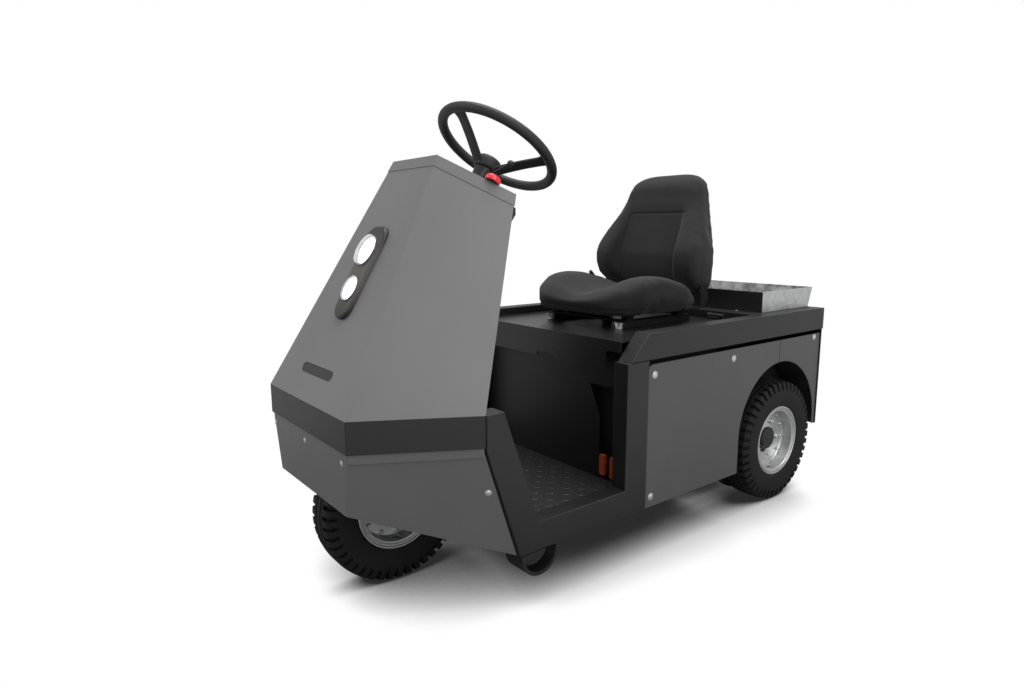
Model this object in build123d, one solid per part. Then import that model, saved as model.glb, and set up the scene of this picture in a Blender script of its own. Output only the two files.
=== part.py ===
from build123d import *
import math
import os

# Three-wheeled electric tow tractor.  Millimetres, +Z up, the nose towards -Y and the driver's left
# towards +X.  The origin lies on the ground, midway along the length.  Stations are distances behind
# the front of the nose, and at() turns a station into Y.

# ---- driving dimensions: body ------------------------------------------------------------------------
WIDTH = 762.0              # over the side frames
FRAME_DEPTH = 50.0         # across a side frame member
GROUND_CLEARANCE = 148.0   # under the sills
SILL_TOP = 222.0
FLOOR_TOP = 200.0
FLOOR_THICKNESS = 5.0
SHEET = 3.5                # folded panels
EDGE_RADIUS = 3.0          # along the welded members
FIT_GAP = 0.3              # between pieces that seat on each other across a joint

# ---- nose --------------------------------------------------------------------------------------------
BAND_TOP = 514.0
BAND_HEIGHT = 75.5
BAND_THICKNESS = 5.0
NOSE_WIDTH = 463.0         # across the flat front of the nose
NOSE_BACK = 264.0          # station where the nose meets the side frames
COWL_TOP_FRONT = (114.0, 309.0, 1071.0)    # half width, station, height of the cowl's top corners
COWL_TOP_BACK = (245.0, 452.0, 975.0)
CAP_HEIGHT = 36.0          # plumb height of the cap above the cowl's top edge
CAP_PROUD = 1.5
SKIRT_FRONT_BOTTOM = 287.0
SKIRT_GAP = 2.0
SKIRT_SETBACK = 4.0
SKIRT_FLANGE = 20.0        # height of the skirt's flange behind the band
SKIRT_LEAN = 4.0           # setback of the skirt's front face at its bottom edge
SKIRT_CORNER_LEAN = 27.0   # narrowing of the front face at its bottom edge

# ---- side frames -------------------------------------------------------------------------------------
PILLAR_FRONT = 267.0
PILLAR_TOP_LENGTH = 50.0
PILLAR_KNEE = 430.0        # height where the pillar's front edge starts to slope
PILLAR_FOOT_FRONT = 362.0
PILLAR_FOOT_BACK = 422.0
POST_FRONT = 724.0
POST_BACK = 809.0

# ---- load frame and deck -----------------------------------------------------------------------------
RAIL_TOP = 644.0
RAIL_HEIGHT = 74.0
RAIL_FOOT = 736.0          # station of the mitred end's foot
RAIL_MITRE = 69.0
RAIL_BACK = 1730.0
CROSSBAR = 50.0
DECK_TOP = 619.0
DECK_PLATE = 4.0
DECK_FRONT = 754.0
DECK_SIDE_GAP = 6.0
LIP_BOTTOM = 535.0
LIP_SHOULDER = 588.0
LIP_HALF_WIDTH = 270.0
LOCK_HOLE = (54.0, 564.0, 5.0)             # x, height, radius
FINGER_SLOT = (-22.0, 53.0, 12.0)          # x from, x to, height
BULKHEAD_FRONT = 790.0
REAR_DECK_FRONT = 1362.0
LID_HINGE = (1352.0, 629.0)                # station, height
HINGE_X = 200.0
KNUCKLE_RADIUS = 8.0
KNUCKLE_WIDTH = 40.0
HINGE_PIN_RADIUS = 5.0

# ---- panels and wheel arches -------------------------------------------------------------------------
PANEL_TOP = 557.0
PANEL_SPLIT = 1462.0
PANEL_GAP = 2.0
PANEL_CORNER = 18.0
PANEL_BACK = 1718.0
QUARTER_BOTTOM = 230.0
PANEL_RECESS = 4.0         # of the side panels inside the frames' outer face
ARCH_CENTRE = (1477.0, 257.0)
ARCH_RADIUS = 226.0
ARCH_GAP = 9.0             # from the opening's edge to the liner
LINER_INNER = 258.0        # x of the liner's inner wall, wheel side
REAR_WALL = 4.0

# ---- wheels ------------------------------------------------------------------------------------------
TYRE_RADIUS = 205.0
TYRE_WIDTH = 104.0
RIM_FLANGE_RADIUS = 118.0
RIM_HALF_WIDTH = 45.0
REAR_WHEEL = (322.0, 1500.0)               # x, station
FRONT_AXLE = 225.5
DISC = 8.0                 # thickness of a rim's disc
HUB_BARREL = 34.0
REAR_DISH = (2.0, (-16.0, 4.0))            # disc face and hub span, outwards from the tyre's middle
FRONT_DISH = (2.0, (-26.0, 26.0))
CAP_RADIUS = 38.0
CAP_STAND = 8.0            # length of a hub cap beyond its hub
CAP_PLUG = (-24.0, -31.0, 14.0)            # station and height from the axle, radius
AXLE_STAND = 4.0           # length of the axle beyond the hub, inside the cap
AXLE_RADIUS = 20.0
RUNNING_CLEARANCE = 0.05
AXLE_TUBE_RADIUS = 38.0
FORK_LEG_INNER = 60.0
FORK_LEG = 14.0
FORK_CROWN_BOTTOM = 418.0
FORK_CROWN = 14.0
KINGPIN_RADIUS = 20.0
KINGPIN_TOP = 540.0
WHEEL_BOX_BACK = 450.0
WHEEL_BOX_SIDE = 350.0     # station where the back wall meets the side frames
WHEEL_BOX_FLAT = 120.0     # half width of the back wall's flat middle
WHEEL_BOX_TOP = 446.0

# ---- steering ----------------------------------------------------------------------------------------
WHEEL_CENTRE = (587.0, 1139.0)             # station, height of the steering wheel's rim plane
WHEEL_TILT = 34.6                          # degrees of its axis from plumb, towards the driver
WHEEL_RIM_RADIUS = 169.0
WHEEL_TUBE_RADIUS = 14.0
WHEEL_DISH = 57.5          # depth of the hub's middle below the rim plane
HUB_RADIUS = 37.0
HUB_HEIGHT = 35.0
SHAFT_RADIUS = 9.0
JACKET_RADIUS = 22.0
JACKET_LENGTH = 150.0
SHROUD_RADIUS = 30.0       # round the top of the jacket, below the hub
SHROUD_LENGTH = 64.0
SPOKE_ANGLES = (-90.5, 29.5, 149.5)
SPOKE_DEPTH = 66.7         # of a spoke's root, inside the hub
SPOKE_THICKNESS = 8.0
SPOKE_WIDTHS = (           # share of the spoke's length, half width: the ends flare into the rim
    (0.0, 13.0),
    (0.55, 14.0),
    (0.82, 19.0),
    (1.0, 27.0),
)
CONSOLE_HALF_WIDTH = 182.0
CONSOLE_BACK = 508.0
CONSOLE_BOTTOM = 915.0

# ---- seat --------------------------------------------------------------------------------------------
SEAT_RAIL_X = 156.0
SEAT_RAIL_FRONT = 921.0
SEAT_RAIL_LENGTH = 330.0
SEAT_RAIL_WIDTH = 27.0
SEAT_RAIL_HEIGHT = 19.0
SLIDE_FRONT = 10.0         # how far the slide starts behind the end of its rail
SLIDE_WALL = 3.0
PAN_BOTTOM = 664.0
PAN_THICKNESS = 6.0
CUSHION_BOTTOM = PAN_BOTTOM + PAN_THICKNESS + FIT_GAP
CUSHION_THICKNESS = 100.7  # at the side bolsters
CUSHION_TOP = CUSHION_BOTTOM + CUSHION_THICKNESS
CUSHION_FRONT = 870.0
CUSHION_BACK = 1236.0
CUSHION_HALF_WIDTH = 218.0
BACK_PIVOT = (1262.0, 700.0)
BACK_LEAN = 9.0
BACK_HALF_WIDTH = 205.0
BACK_REAR = -36.0          # back face of the backrest, from the plane through the pivot
BRACKET = 6.0
BRACKET_X = BACK_HALF_WIDTH + BRACKET + 1.0
PIVOT_PIN_RADIUS = 7.0

# ---- tray --------------------------------------------------------------------------------------------
TRAY_HALF_WIDTH = 320.0
TRAY_FRONT = 1437.0
TRAY_FLOOR_BACK = 1728.0
TRAY_TOP_BACK = 1752.0
TRAY_SEAM = 1690.0
TRAY_TOP = 712.0
TRAY_WALL = 3.0

# ---- battery and tow hitch ---------------------------------------------------------------------------
BATTERY_HALF_WIDTH = 300.0
BATTERY_FRONT = 880.0
BATTERY_TOP = 560.0
BATTERY_TRAY_BACK = 1236.0
LOWER_RAIL_DEPTH = 36.0
LOWER_RAIL_HEIGHT = 42.0
SUBFRAME_X = 200.0
SUBFRAME_PLATE = 8.0
TOW_REACH = 74.0                           # from the rear wall to the tow pin
TOW_JAW_NOSE = 40.0                        # from the tow pin to the end of the jaw
TOW_PIN_RADIUS = 12.5
TOW_JAW_WIDTH = 90.0
TOW_JAW_LEVELS = (282.0, 342.0, 402.0)     # undersides of the jaw's three plates
TOW_PLATE = 14.0

HALF = WIDTH / 2
INNER = HALF - FRAME_DEPTH                 # inner face of the side frames
HITCH_FACE = PANEL_BACK + REAR_WALL
TOW_PIN = HITCH_FACE + TOW_REACH           # station
LENGTH = TOW_PIN + TOW_JAW_NOSE            # nose to the back of the tow jaw
BAND_BOTTOM = BAND_TOP - BAND_HEIGHT
RAIL_BOTTOM = RAIL_TOP - RAIL_HEIGHT
TRAY_FLOOR = GROUND_CLEARANCE + 2.0        # underside of the battery tray

ON_BASE = (Align.CENTER, Align.CENTER, Align.MIN)


def at(station):
    """Y of a station behind the nose."""
    return station - LENGTH / 2


def block(x, stations, heights):
    """A box between two x values, two stations and two heights."""
    size = (x[1] - x[0], stations[1] - stations[0], heights[1] - heights[0])
    return Pos(x[0], at(stations[0]), heights[0]) * Box(*size, align=(Align.MIN,) * 3)


def side_profile(points, x):
    """A flat side-view outline of (station, height) points, solid between two x values."""
    outline = Polyline(*[(x[0], at(s), z) for s, z in points], close=True)
    return extrude(make_face(outline), amount=x[1] - x[0], dir=(1, 0, 0))


def both_sides(shape):
    """The shape on the driver's left and its mirror image on the right, as two solids."""
    return Compound(children=[shape, mirror(shape, about=Plane.YZ)])


def rod(start, end, radius):
    """A round bar between two points (x, station, height)."""
    a = Vector(start[0], at(start[1]), start[2])
    b = Vector(end[0], at(end[1]), end[2])
    return Plane(origin=a, z_dir=b - a) * Cylinder(radius, (b - a).length, align=ON_BASE)


def cross_rod(x, station, height, radius):
    """A round bar across the vehicle between two x values."""
    return rod((x[0], station, height), (x[1], station, height), radius)


parts = {}

# ==== side frames: pillar, sill and post in one welded member each side ===============================
frame_outline = [
    (PILLAR_FRONT, BAND_TOP),
    (PILLAR_FRONT + PILLAR_TOP_LENGTH, BAND_TOP),
    (PILLAR_FOOT_BACK, SILL_TOP),
    (POST_FRONT, SILL_TOP),
    (POST_FRONT, RAIL_BOTTOM),
    (POST_BACK, RAIL_BOTTOM),
    (POST_BACK, GROUND_CLEARANCE),
    (PILLAR_FOOT_FRONT, GROUND_CLEARANCE),
    (PILLAR_FRONT, PILLAR_KNEE),
]
side_frame = side_profile(frame_outline, (INNER, HALF))
long_edges = side_frame.edges().filter_by(Axis.X, reverse=True)
side_frame = fillet(long_edges, EDGE_RADIUS)
parts["side_frame_left"] = side_frame
parts["side_frame_right"] = mirror(side_frame, about=Plane.YZ)

# skid hoops: flat bar bent under each sill
HOOP_CENTRE = 427.0
HOOP_RADIUS = 59.5
HOOP_BAR = 9.0
HOOP_DROP = 7.0            # height of the hoop's straight legs below the sill
HOOP_WIDTH = 64.0
GUSSET_CENTRE = (400.0, 164.0)             # station, height
GUSSET_RADIUS = 45.5
GUSSET_PLATE = 3.0
hoop_axis_z = GROUND_CLEARANCE - HOOP_DROP


def half_ring(outer, inner, centre, leg, x):
    """A U of two straight legs and a half ring below them, solid between two x values."""
    station, height = centre
    ring = cross_rod(x, station, height, outer) - cross_rod(x, station, height, inner)
    ring -= block(x, (station - outer, station + outer), (height, height + outer))
    legs = block(x, (station - outer, station - inner), (height, height + leg))
    legs += block(x, (station + inner, station + outer), (height, height + leg))
    return ring + legs


gusset_x = (HALF - GUSSET_PLATE, HALF)
gusset = cross_rod(gusset_x, *GUSSET_CENTRE, GUSSET_RADIUS)
gusset &= block(gusset_x, (HOOP_CENTRE - HOOP_RADIUS, HOOP_CENTRE + HOOP_RADIUS), (0, GROUND_CLEARANCE))
hoop_x = (HALF - GUSSET_PLATE - HOOP_WIDTH, HALF - GUSSET_PLATE)
hoop = half_ring(HOOP_RADIUS, HOOP_RADIUS - HOOP_BAR, (HOOP_CENTRE, hoop_axis_z), HOOP_DROP, hoop_x)
parts["skid_hoops"] = both_sides(hoop + gusset)

# ==== load frame: two mitred rails joined by a rear crossbar ==========================================
rail_outline = [
    (RAIL_FOOT, RAIL_BOTTOM),
    (RAIL_FOOT + RAIL_MITRE, RAIL_TOP),
    (RAIL_BACK, RAIL_TOP),
    (RAIL_BACK, RAIL_BOTTOM),
]
rail = side_profile(rail_outline, (INNER, HALF))
rail = fillet(rail.edges().filter_by(Axis.X, reverse=True), EDGE_RADIUS)
crossbar = block((-INNER, INNER), (RAIL_BACK - CROSSBAR, RAIL_BACK), (RAIL_BOTTOM, RAIL_TOP))
parts["load_frame"] = rail + mirror(rail, about=Plane.YZ) + crossbar

# ==== nose band, cowl, cap and skirt ==================================================================
front_half = NOSE_WIDTH / 2


def nose_section(z, inset, open_back):
    """The cowl's section at a height: four corners, inset by a wall, with the back pushed open if asked."""
    rise_front = COWL_TOP_FRONT[2] - BAND_TOP
    rise_back = COWL_TOP_BACK[2] - BAND_TOP
    k = (z - BAND_TOP) / rise_front
    m = (z - BAND_TOP) / rise_back
    xf = front_half + k * (COWL_TOP_FRONT[0] - front_half)
    yf = k * COWL_TOP_FRONT[1]
    xb = HALF + m * (COWL_TOP_BACK[0] - HALF)
    yb = NOSE_BACK + m * (COWL_TOP_BACK[1] - NOSE_BACK)
    run = math.hypot(xb - xf, yb - yf)
    along = ((xb - xf) / run, (yb - yf) / run)
    # inset of the slanted side measured square to it, and of the front square to the front
    shift = inset / along[1]
    xf_in = xf - shift + inset * along[0] / along[1]
    back = open_back
    xb_in = xb - shift + back * along[0] / along[1]
    corners = [(-xf_in, yf + inset), (xf_in, yf + inset), (xb_in, yb + back), (-xb_in, yb + back)]
    return make_face(Polyline(*[(x, at(y), z) for x, y in corners], close=True))


COWL_LOFT_TOP = 1120.0
cowl_outer = loft([nose_section(BAND_TOP, 0, 0), nose_section(COWL_LOFT_TOP, 0, 0)], ruled=True)
cowl_inner = loft(
    [nose_section(BAND_TOP - 1, SHEET, 60), nose_section(COWL_LOFT_TOP + 1, SHEET, 60)], ruled=True
)
slope = (COWL_TOP_FRONT[2] - COWL_TOP_BACK[2]) / (COWL_TOP_BACK[1] - COWL_TOP_FRONT[1])


def above_slope(lift):
    """Everything above the sloping top plane of the cowl, lifted plumb by an amount."""
    near, far = 0.0, 900.0
    z_near = COWL_TOP_FRONT[2] + lift + slope * (COWL_TOP_FRONT[1] - near)
    z_far = COWL_TOP_FRONT[2] + lift + slope * (COWL_TOP_FRONT[1] - far)
    high = z_near + 500.0
    return side_profile([(near, z_near), (far, z_far), (far, high), (near, high)], (-HALF, HALF))


cowl = cowl_outer - cowl_inner - above_slope(0)

cap_outer = loft(
    [nose_section(BAND_TOP, -CAP_PROUD, CAP_PROUD), nose_section(COWL_LOFT_TOP, -CAP_PROUD, CAP_PROUD)], ruled=True
)
cap_inner = loft(
    [nose_section(BAND_TOP - 1, SHEET, -SHEET), nose_section(COWL_LOFT_TOP + 1, SHEET, -SHEET)], ruled=True
)
cap_skin = cap_outer - above_slope(CAP_HEIGHT) - (cap_inner - above_slope(CAP_HEIGHT - SHEET * 1.2))
parts["cowl_cap"] = cap_skin & above_slope(0)

band_corners = [(HALF, NOSE_BACK), (front_half, 0.0), (-front_half, 0.0), (-HALF, NOSE_BACK)]
run = math.hypot(HALF - front_half, NOSE_BACK)
side_dir = ((HALF - front_half) / run, NOSE_BACK / run)
band_shift = BAND_THICKNESS / side_dir[1]
band_inner = [
    (-HALF + band_shift, NOSE_BACK),
    (-front_half + band_shift - BAND_THICKNESS * side_dir[0] / side_dir[1], BAND_THICKNESS),
    (front_half - band_shift + BAND_THICKNESS * side_dir[0] / side_dir[1], BAND_THICKNESS),
    (HALF - band_shift, NOSE_BACK),
]
band_face = make_face(Polyline(*[(x, at(y), BAND_BOTTOM) for x, y in band_corners + band_inner], close=True))
parts["nose_band"] = extrude(band_face, amount=BAND_HEIGHT, dir=(0, 0, 1))

skirt_top = BAND_BOTTOM - SKIRT_GAP


def skirt_section(z, inset, back):
    """The skirt's outline at a height: the front leans back and narrows towards the ground."""
    t = (skirt_top - z) / (skirt_top - SKIRT_FRONT_BOTTOM)
    yf = SKIRT_SETBACK + t * SKIRT_LEAN + inset
    xf = front_half - SKIRT_SETBACK - t * SKIRT_CORNER_LEAN
    xb = HALF - SKIRT_SETBACK
    # the side keeps the direction of the nose's side in plan
    k = (HALF - front_half) / NOSE_BACK
    yb = SKIRT_SETBACK + t * SKIRT_LEAN + (xb - xf) / k
    shift = inset * math.hypot(1, k)
    xf_in = xf - shift + inset * k
    xb_in = xb - shift + back * k
    corners = [(-xf_in, yf), (xf_in, yf), (xb_in, yb + back), (-xb_in, yb + back)]
    return make_face(Polyline(*[(x, at(y), z) for x, y in corners], close=True))


skirt_low = GROUND_CLEARANCE
skirt_shell = loft([skirt_section(skirt_low, 0, 0), skirt_section(skirt_top, 0, 0)], ruled=True)
skirt_shell -= loft([skirt_section(skirt_low - 1, SHEET, 80), skirt_section(skirt_top + 1, SHEET, 80)], ruled=True)
front_y = SKIRT_SETBACK + SKIRT_LEAN
below_edge = [
    (-20.0, SKIRT_FRONT_BOTTOM),
    (front_y, SKIRT_FRONT_BOTTOM),
    (PILLAR_FOOT_FRONT, GROUND_CLEARANCE + 2),
    (PILLAR_FOOT_FRONT + 60, GROUND_CLEARANCE + 2),
    (PILLAR_FOOT_FRONT + 60, 60.0),
    (-20.0, 60.0),
]
PILLAR_GAP = 3.0
beyond_pillar = [
    (PILLAR_FRONT - PILLAR_GAP, BAND_TOP),
    (PILLAR_FRONT - PILLAR_GAP, PILLAR_KNEE),
    (PILLAR_FOOT_FRONT - PILLAR_GAP, GROUND_CLEARANCE),
    (PILLAR_FOOT_FRONT - PILLAR_GAP, GROUND_CLEARANCE - 40),
    (900.0, GROUND_CLEARANCE - 40),
    (900.0, BAND_TOP),
]
flange_face = nose_section(BAND_TOP, BAND_THICKNESS, 0) - nose_section(BAND_TOP, BAND_THICKNESS + SHEET, 60)
flange = Pos(0, 0, BAND_BOTTOM + SKIRT_FLANGE - BAND_TOP) * extrude(
    flange_face, amount=SKIRT_GAP + 2 * SKIRT_FLANGE, dir=(0, 0, -1)
)
parts["front_skirt"] = (
    skirt_shell
    + flange
    - side_profile(below_edge, (-HALF, HALF))
    - side_profile(beyond_pillar, (-HALF, HALF))
)

# ==== dash behind the cowl, with the console that carries the steering column =========================
axis = (math.sin(math.radians(WHEEL_TILT)), math.cos(math.radians(WHEEL_TILT)))
wheel_plane = Plane(
    origin=(0, at(WHEEL_CENTRE[0]), WHEEL_CENTRE[1]), x_dir=(1, 0, 0), z_dir=(0, axis[0], axis[1])
)


def dash_section(z, depth):
    """A strip of the sloping dash at a height, just inside the cowl's back edge."""
    m = (z - BAND_TOP) / (COWL_TOP_BACK[2] - BAND_TOP)
    xb = HALF + m * (COWL_TOP_BACK[0] - HALF) - SHEET * 1.2
    yb = NOSE_BACK + m * (COWL_TOP_BACK[1] - NOSE_BACK)
    corners = [(-xb + 2, yb - depth), (xb - 2, yb - depth), (xb, yb), (-xb, yb)]
    return make_face(Polyline(*[(x, at(y), z) for x, y in corners], close=True))


dash = loft([dash_section(BAND_TOP, SHEET), dash_section(COWL_LOFT_TOP, SHEET)], ruled=True) - above_slope(-1)
dash_foot = block((-INNER, INNER), (NOSE_BACK - SHEET, NOSE_BACK), (WHEEL_BOX_TOP, BAND_TOP))
console_outline = [
    (COWL_TOP_BACK[1] - 30, CONSOLE_BOTTOM),
    (CONSOLE_BACK - 30, CONSOLE_BOTTOM),
    (CONSOLE_BACK, CONSOLE_BOTTOM + 40),
    (CONSOLE_BACK, COWL_LOFT_TOP),
    (COWL_TOP_BACK[1] - 30, COWL_LOFT_TOP),
]
console = side_profile(console_outline, (-CONSOLE_HALF_WIDTH, CONSOLE_HALF_WIDTH)) - above_slope(CAP_HEIGHT - 2)
console -= loft([nose_section(BAND_TOP, -60, 0), nose_section(COWL_LOFT_TOP, -60, 0)], ruled=True)
console -= cap_outer & above_slope(-2)
jacket = wheel_plane * Pos(0, 0, -WHEEL_DISH - HUB_HEIGHT / 2 - FIT_GAP - JACKET_LENGTH) * Cylinder(
    JACKET_RADIUS, JACKET_LENGTH, align=ON_BASE
)
shaft = wheel_plane * Pos(0, 0, -WHEEL_DISH - 60) * Cylinder(
    SHAFT_RADIUS, 60 + HUB_HEIGHT / 2 - 4, align=ON_BASE
)
shroud = wheel_plane * Pos(0, 0, -WHEEL_DISH - HUB_HEIGHT / 2 - FIT_GAP - SHROUD_LENGTH) * Cone(
    JACKET_RADIUS + 3, SHROUD_RADIUS, SHROUD_LENGTH, align=ON_BASE
)
column = jacket + shroud + shaft
bore = wheel_plane * Pos(0, 0, -WHEEL_DISH - 300) * Cylinder(
    JACKET_RADIUS + 0.2, 300, align=ON_BASE
)
parts["dash_panel"] = dash + dash_foot + console - bore
parts["cowl_cap"] = parts["cowl_cap"] - bore
parts["steering_column"] = column

# ==== lamps and slot in the cowl's front face =========================================================
face_rise = COWL_TOP_FRONT[2] - BAND_TOP
face_angle = math.atan2(COWL_TOP_FRONT[1], face_rise)     # lean of the front face from plumb


def face_plane(z):
    """A plane on the cowl's front face at a height: its X across, its Y up the face, its Z outwards."""
    station = COWL_TOP_FRONT[1] * (z - BAND_TOP) / face_rise
    return Plane(
        origin=(0, at(station), z), x_dir=(1, 0, 0), z_dir=(0, -math.cos(face_angle), math.sin(face_angle))
    )


POD_TOP = 921.0
POD_BOTTOM = 702.0
POD_HALF_WIDTHS = (54.0, 40.0)             # at the top and at the foot
POD_CORNERS = (20.0, 38.0)                 # corner radii at the top and at the foot
POD_DEPTH = 12.0
POD_EDGE = 4.0
LAMPS = (                  # height on the face, bezel radius, lens radius, how far the bezel stands out
    (862.0, 46.0, 41.0, 18.0),
    (773.0, 38.5, 33.5, 15.0),
)
LENS_SEAT = 4.0            # height of the lens seat above the face
LENS_GAP = 1.0
LENS_DOME = 6.0            # the lens bulges this much above its edge
LENS_SUNK = 3.0            # the bezel stands this far beyond the lens's edge
SLOT_HEIGHT = 582.0
SLOT_LENGTH = 178.0
SLOT_WIDTH = 25.0

pod_length = (POD_TOP - POD_BOTTOM) / math.cos(face_angle)
pod_centre = face_plane((POD_TOP + POD_BOTTOM) / 2)
(top_half, foot_half), (top_corner, foot_corner) = POD_HALF_WIDTHS, POD_CORNERS
pod_outline = FilletPolyline(
    (-top_half, pod_length / 2), (top_half, pod_length / 2), (foot_half, -pod_length / 2),
    (-foot_half, -pod_length / 2), radius=[top_corner, top_corner, foot_corner, foot_corner], close=True,
)
pod = extrude(pod_centre * make_face(pod_outline), amount=POD_DEPTH)
pod = fillet(pod.faces().sort_by(Axis((0, 0, 0), pod_centre.z_dir))[-1].edges(), POD_EDGE)
lenses = []
for height, bezel, lens, stand in LAMPS:
    place = face_plane(height)
    pod += place * Cylinder(bezel, stand, align=ON_BASE)
    pod -= place * Pos(0, 0, LENS_SEAT) * Cylinder(lens + LENS_GAP, stand, align=ON_BASE)
    edge = stand - LENS_SEAT - LENS_SUNK
    ball = (lens**2 + LENS_DOME**2) / (2 * LENS_DOME)
    dome = Cylinder(lens, edge + LENS_DOME, align=ON_BASE) & Pos(0, 0, edge + LENS_DOME - ball) * Sphere(ball)
    lenses.append(place * Pos(0, 0, LENS_SEAT) * dome)
parts["headlamp_pod"] = pod
parts["headlamp_lenses"] = Compound(children=lenses)

slot_sketch = SlotOverall(SLOT_LENGTH, SLOT_WIDTH)
slot_cut = extrude(face_plane(SLOT_HEIGHT) * Pos(0, 0, -20) * slot_sketch, amount=40)
cowl -= slot_cut
parts["cowl"] = cowl
slot_insert = extrude(face_plane(SLOT_HEIGHT) * Pos(0, 0, -SHEET) * offset(slot_sketch, -0.2), amount=SHEET - 1)
slot_backing = extrude(face_plane(SLOT_HEIGHT) * Pos(0, 0, -SHEET - 4) * offset(slot_sketch, 6), amount=4)
parts["nose_slot"] = slot_insert + slot_backing

# ==== steering wheel and the controls beside it =======================================================
rim = Torus(WHEEL_RIM_RADIUS, WHEEL_TUBE_RADIUS)
hub = Pos(0, 0, -WHEEL_DISH) * Cylinder(HUB_RADIUS, HUB_HEIGHT)
wheel = rim + hub
spoke_line = Line((HUB_RADIUS - 8, 0, -SPOKE_DEPTH), (WHEEL_RIM_RADIUS, 0, 0))
spoke_edge = [(share * spoke_line.length, width) for share, width in SPOKE_WIDTHS]
spoke_face = make_face(Polyline(*spoke_edge, *[(a, -w) for a, w in reversed(spoke_edge)], close=True))
spoke_place = Plane(origin=spoke_line @ 0, x_dir=spoke_line % 0, z_dir=Vector(0, 1, 0).cross(spoke_line % 0) * -1)
spoke = spoke_place * extrude(spoke_face, amount=SPOKE_THICKNESS / 2, both=True)
for angle in SPOKE_ANGLES:
    wheel += Rot(0, 0, angle) * spoke
wheel -= Pos(0, 0, -WHEEL_DISH - HUB_HEIGHT) * Cylinder(
    SHAFT_RADIUS + RUNNING_CLEARANCE, HUB_HEIGHT * 1.5 - 4 + FIT_GAP, align=ON_BASE
)
parts["steering_wheel"] = wheel_plane * wheel

LEVER_ROOT = -94.0         # along the column, from the rim plane
LEVER_TIP = (108.0, -2.0, -62.0)
lever_start = (SHROUD_RADIUS, 0.0, LEVER_ROOT)
lever_line = Line(lever_start, LEVER_TIP)
lever = sweep(Plane(origin=lever_line @ 0, z_dir=lever_line % 0) * Circle(4), path=lever_line)
lever += Pos(*LEVER_TIP) * Sphere(9)
lever += Pos(SHROUD_RADIUS + 4, 0, LEVER_ROOT) * Box(16, 22, 22)
lever = wheel_plane * lever - column
parts["direction_lever"] = lever

STOP_X = 199.0
STOP_STATION = 427.0
STOP_RADIUS = 21.0
slope_angle = math.atan(slope)
stop_z = COWL_TOP_FRONT[2] + CAP_HEIGHT - slope * (STOP_STATION - COWL_TOP_FRONT[1])
stop_plane = Plane(
    origin=(STOP_X, at(STOP_STATION), stop_z), x_dir=(1, 0, 0), z_dir=(0, math.sin(slope_angle), math.cos(slope_angle))
)
stop = Cylinder(15, 5, align=ON_BASE) + Cylinder(11, 10, align=ON_BASE)
button = Pos(0, 0, 8) * Cylinder(STOP_RADIUS, 12, align=ON_BASE)
stop += fillet(button.edges().sort_by(Axis.Z)[-1], 5)
parts["emergency_stop"] = stop_plane * stop

# ==== wheel box, steering head, floor and bulkhead ====================================================
box_clear = FRAME_DEPTH + 3
box_corners = [
    (HALF - box_clear - 0.5, NOSE_BACK - SHEET),
    (front_half - 14, BAND_THICKNESS + SHEET),
    (-front_half + 14, BAND_THICKNESS + SHEET),
    (-HALF + box_clear + 0.5, NOSE_BACK - SHEET),
    (-INNER, NOSE_BACK + 4),
    (-INNER, WHEEL_BOX_SIDE),
    (-WHEEL_BOX_FLAT, WHEEL_BOX_BACK),
    (WHEEL_BOX_FLAT, WHEEL_BOX_BACK),
    (INNER, WHEEL_BOX_SIDE),
    (INNER, NOSE_BACK + 4),
]
FLOOR_BOTTOM = FLOOR_TOP - FLOOR_THICKNESS
box_face = make_face(Polyline(*[(x, at(y), FLOOR_BOTTOM) for x, y in box_corners], close=True))
box_height = WHEEL_BOX_TOP - FLOOR_BOTTOM
wheel_box = Pos(0, 0, box_height - SHEET) * extrude(box_face, amount=SHEET, dir=(0, 0, 1))
wheel_box += extrude(box_face - Pos(0, -SHEET, 0) * box_face, amount=box_height, dir=(0, 0, 1))
head_radius = KINGPIN_RADIUS + 14
HEAD_WEB = 170.0           # reach of the head's two webs towards the nose
HEAD_BASE = 35.0           # reach of its foot plate behind the kingpin
head_span = (WHEEL_BOX_TOP, KINGPIN_TOP - 12)
head = rod((0, FRONT_AXLE, head_span[0]), (0, FRONT_AXLE, head_span[1]), head_radius)
head += block((-60, 60), (FRONT_AXLE - 60, FRONT_AXLE + HEAD_BASE), (head_span[0], head_span[0] + 10))
for side in (-1, 1):
    head += side_profile(
        [
            (FRONT_AXLE, head_span[0]),
            (FRONT_AXLE - HEAD_WEB, head_span[0]),
            (FRONT_AXLE - HEAD_WEB, head_span[0] + 10),
            (FRONT_AXLE, head_span[1] - 10),
        ],
        (side * 26 - 4, side * 26 + 4),
    )
kingpin_bore = rod(
    (0, FRONT_AXLE, FORK_CROWN_BOTTOM), (0, FRONT_AXLE, KINGPIN_TOP + 20), KINGPIN_RADIUS + RUNNING_CLEARANCE
)
parts["wheel_box"] = wheel_box - rod(
    (0, FRONT_AXLE, FORK_CROWN_BOTTOM), (0, FRONT_AXLE, KINGPIN_TOP), KINGPIN_RADIUS + 4
)
parts["steering_head"] = head - kingpin_bore

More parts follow.
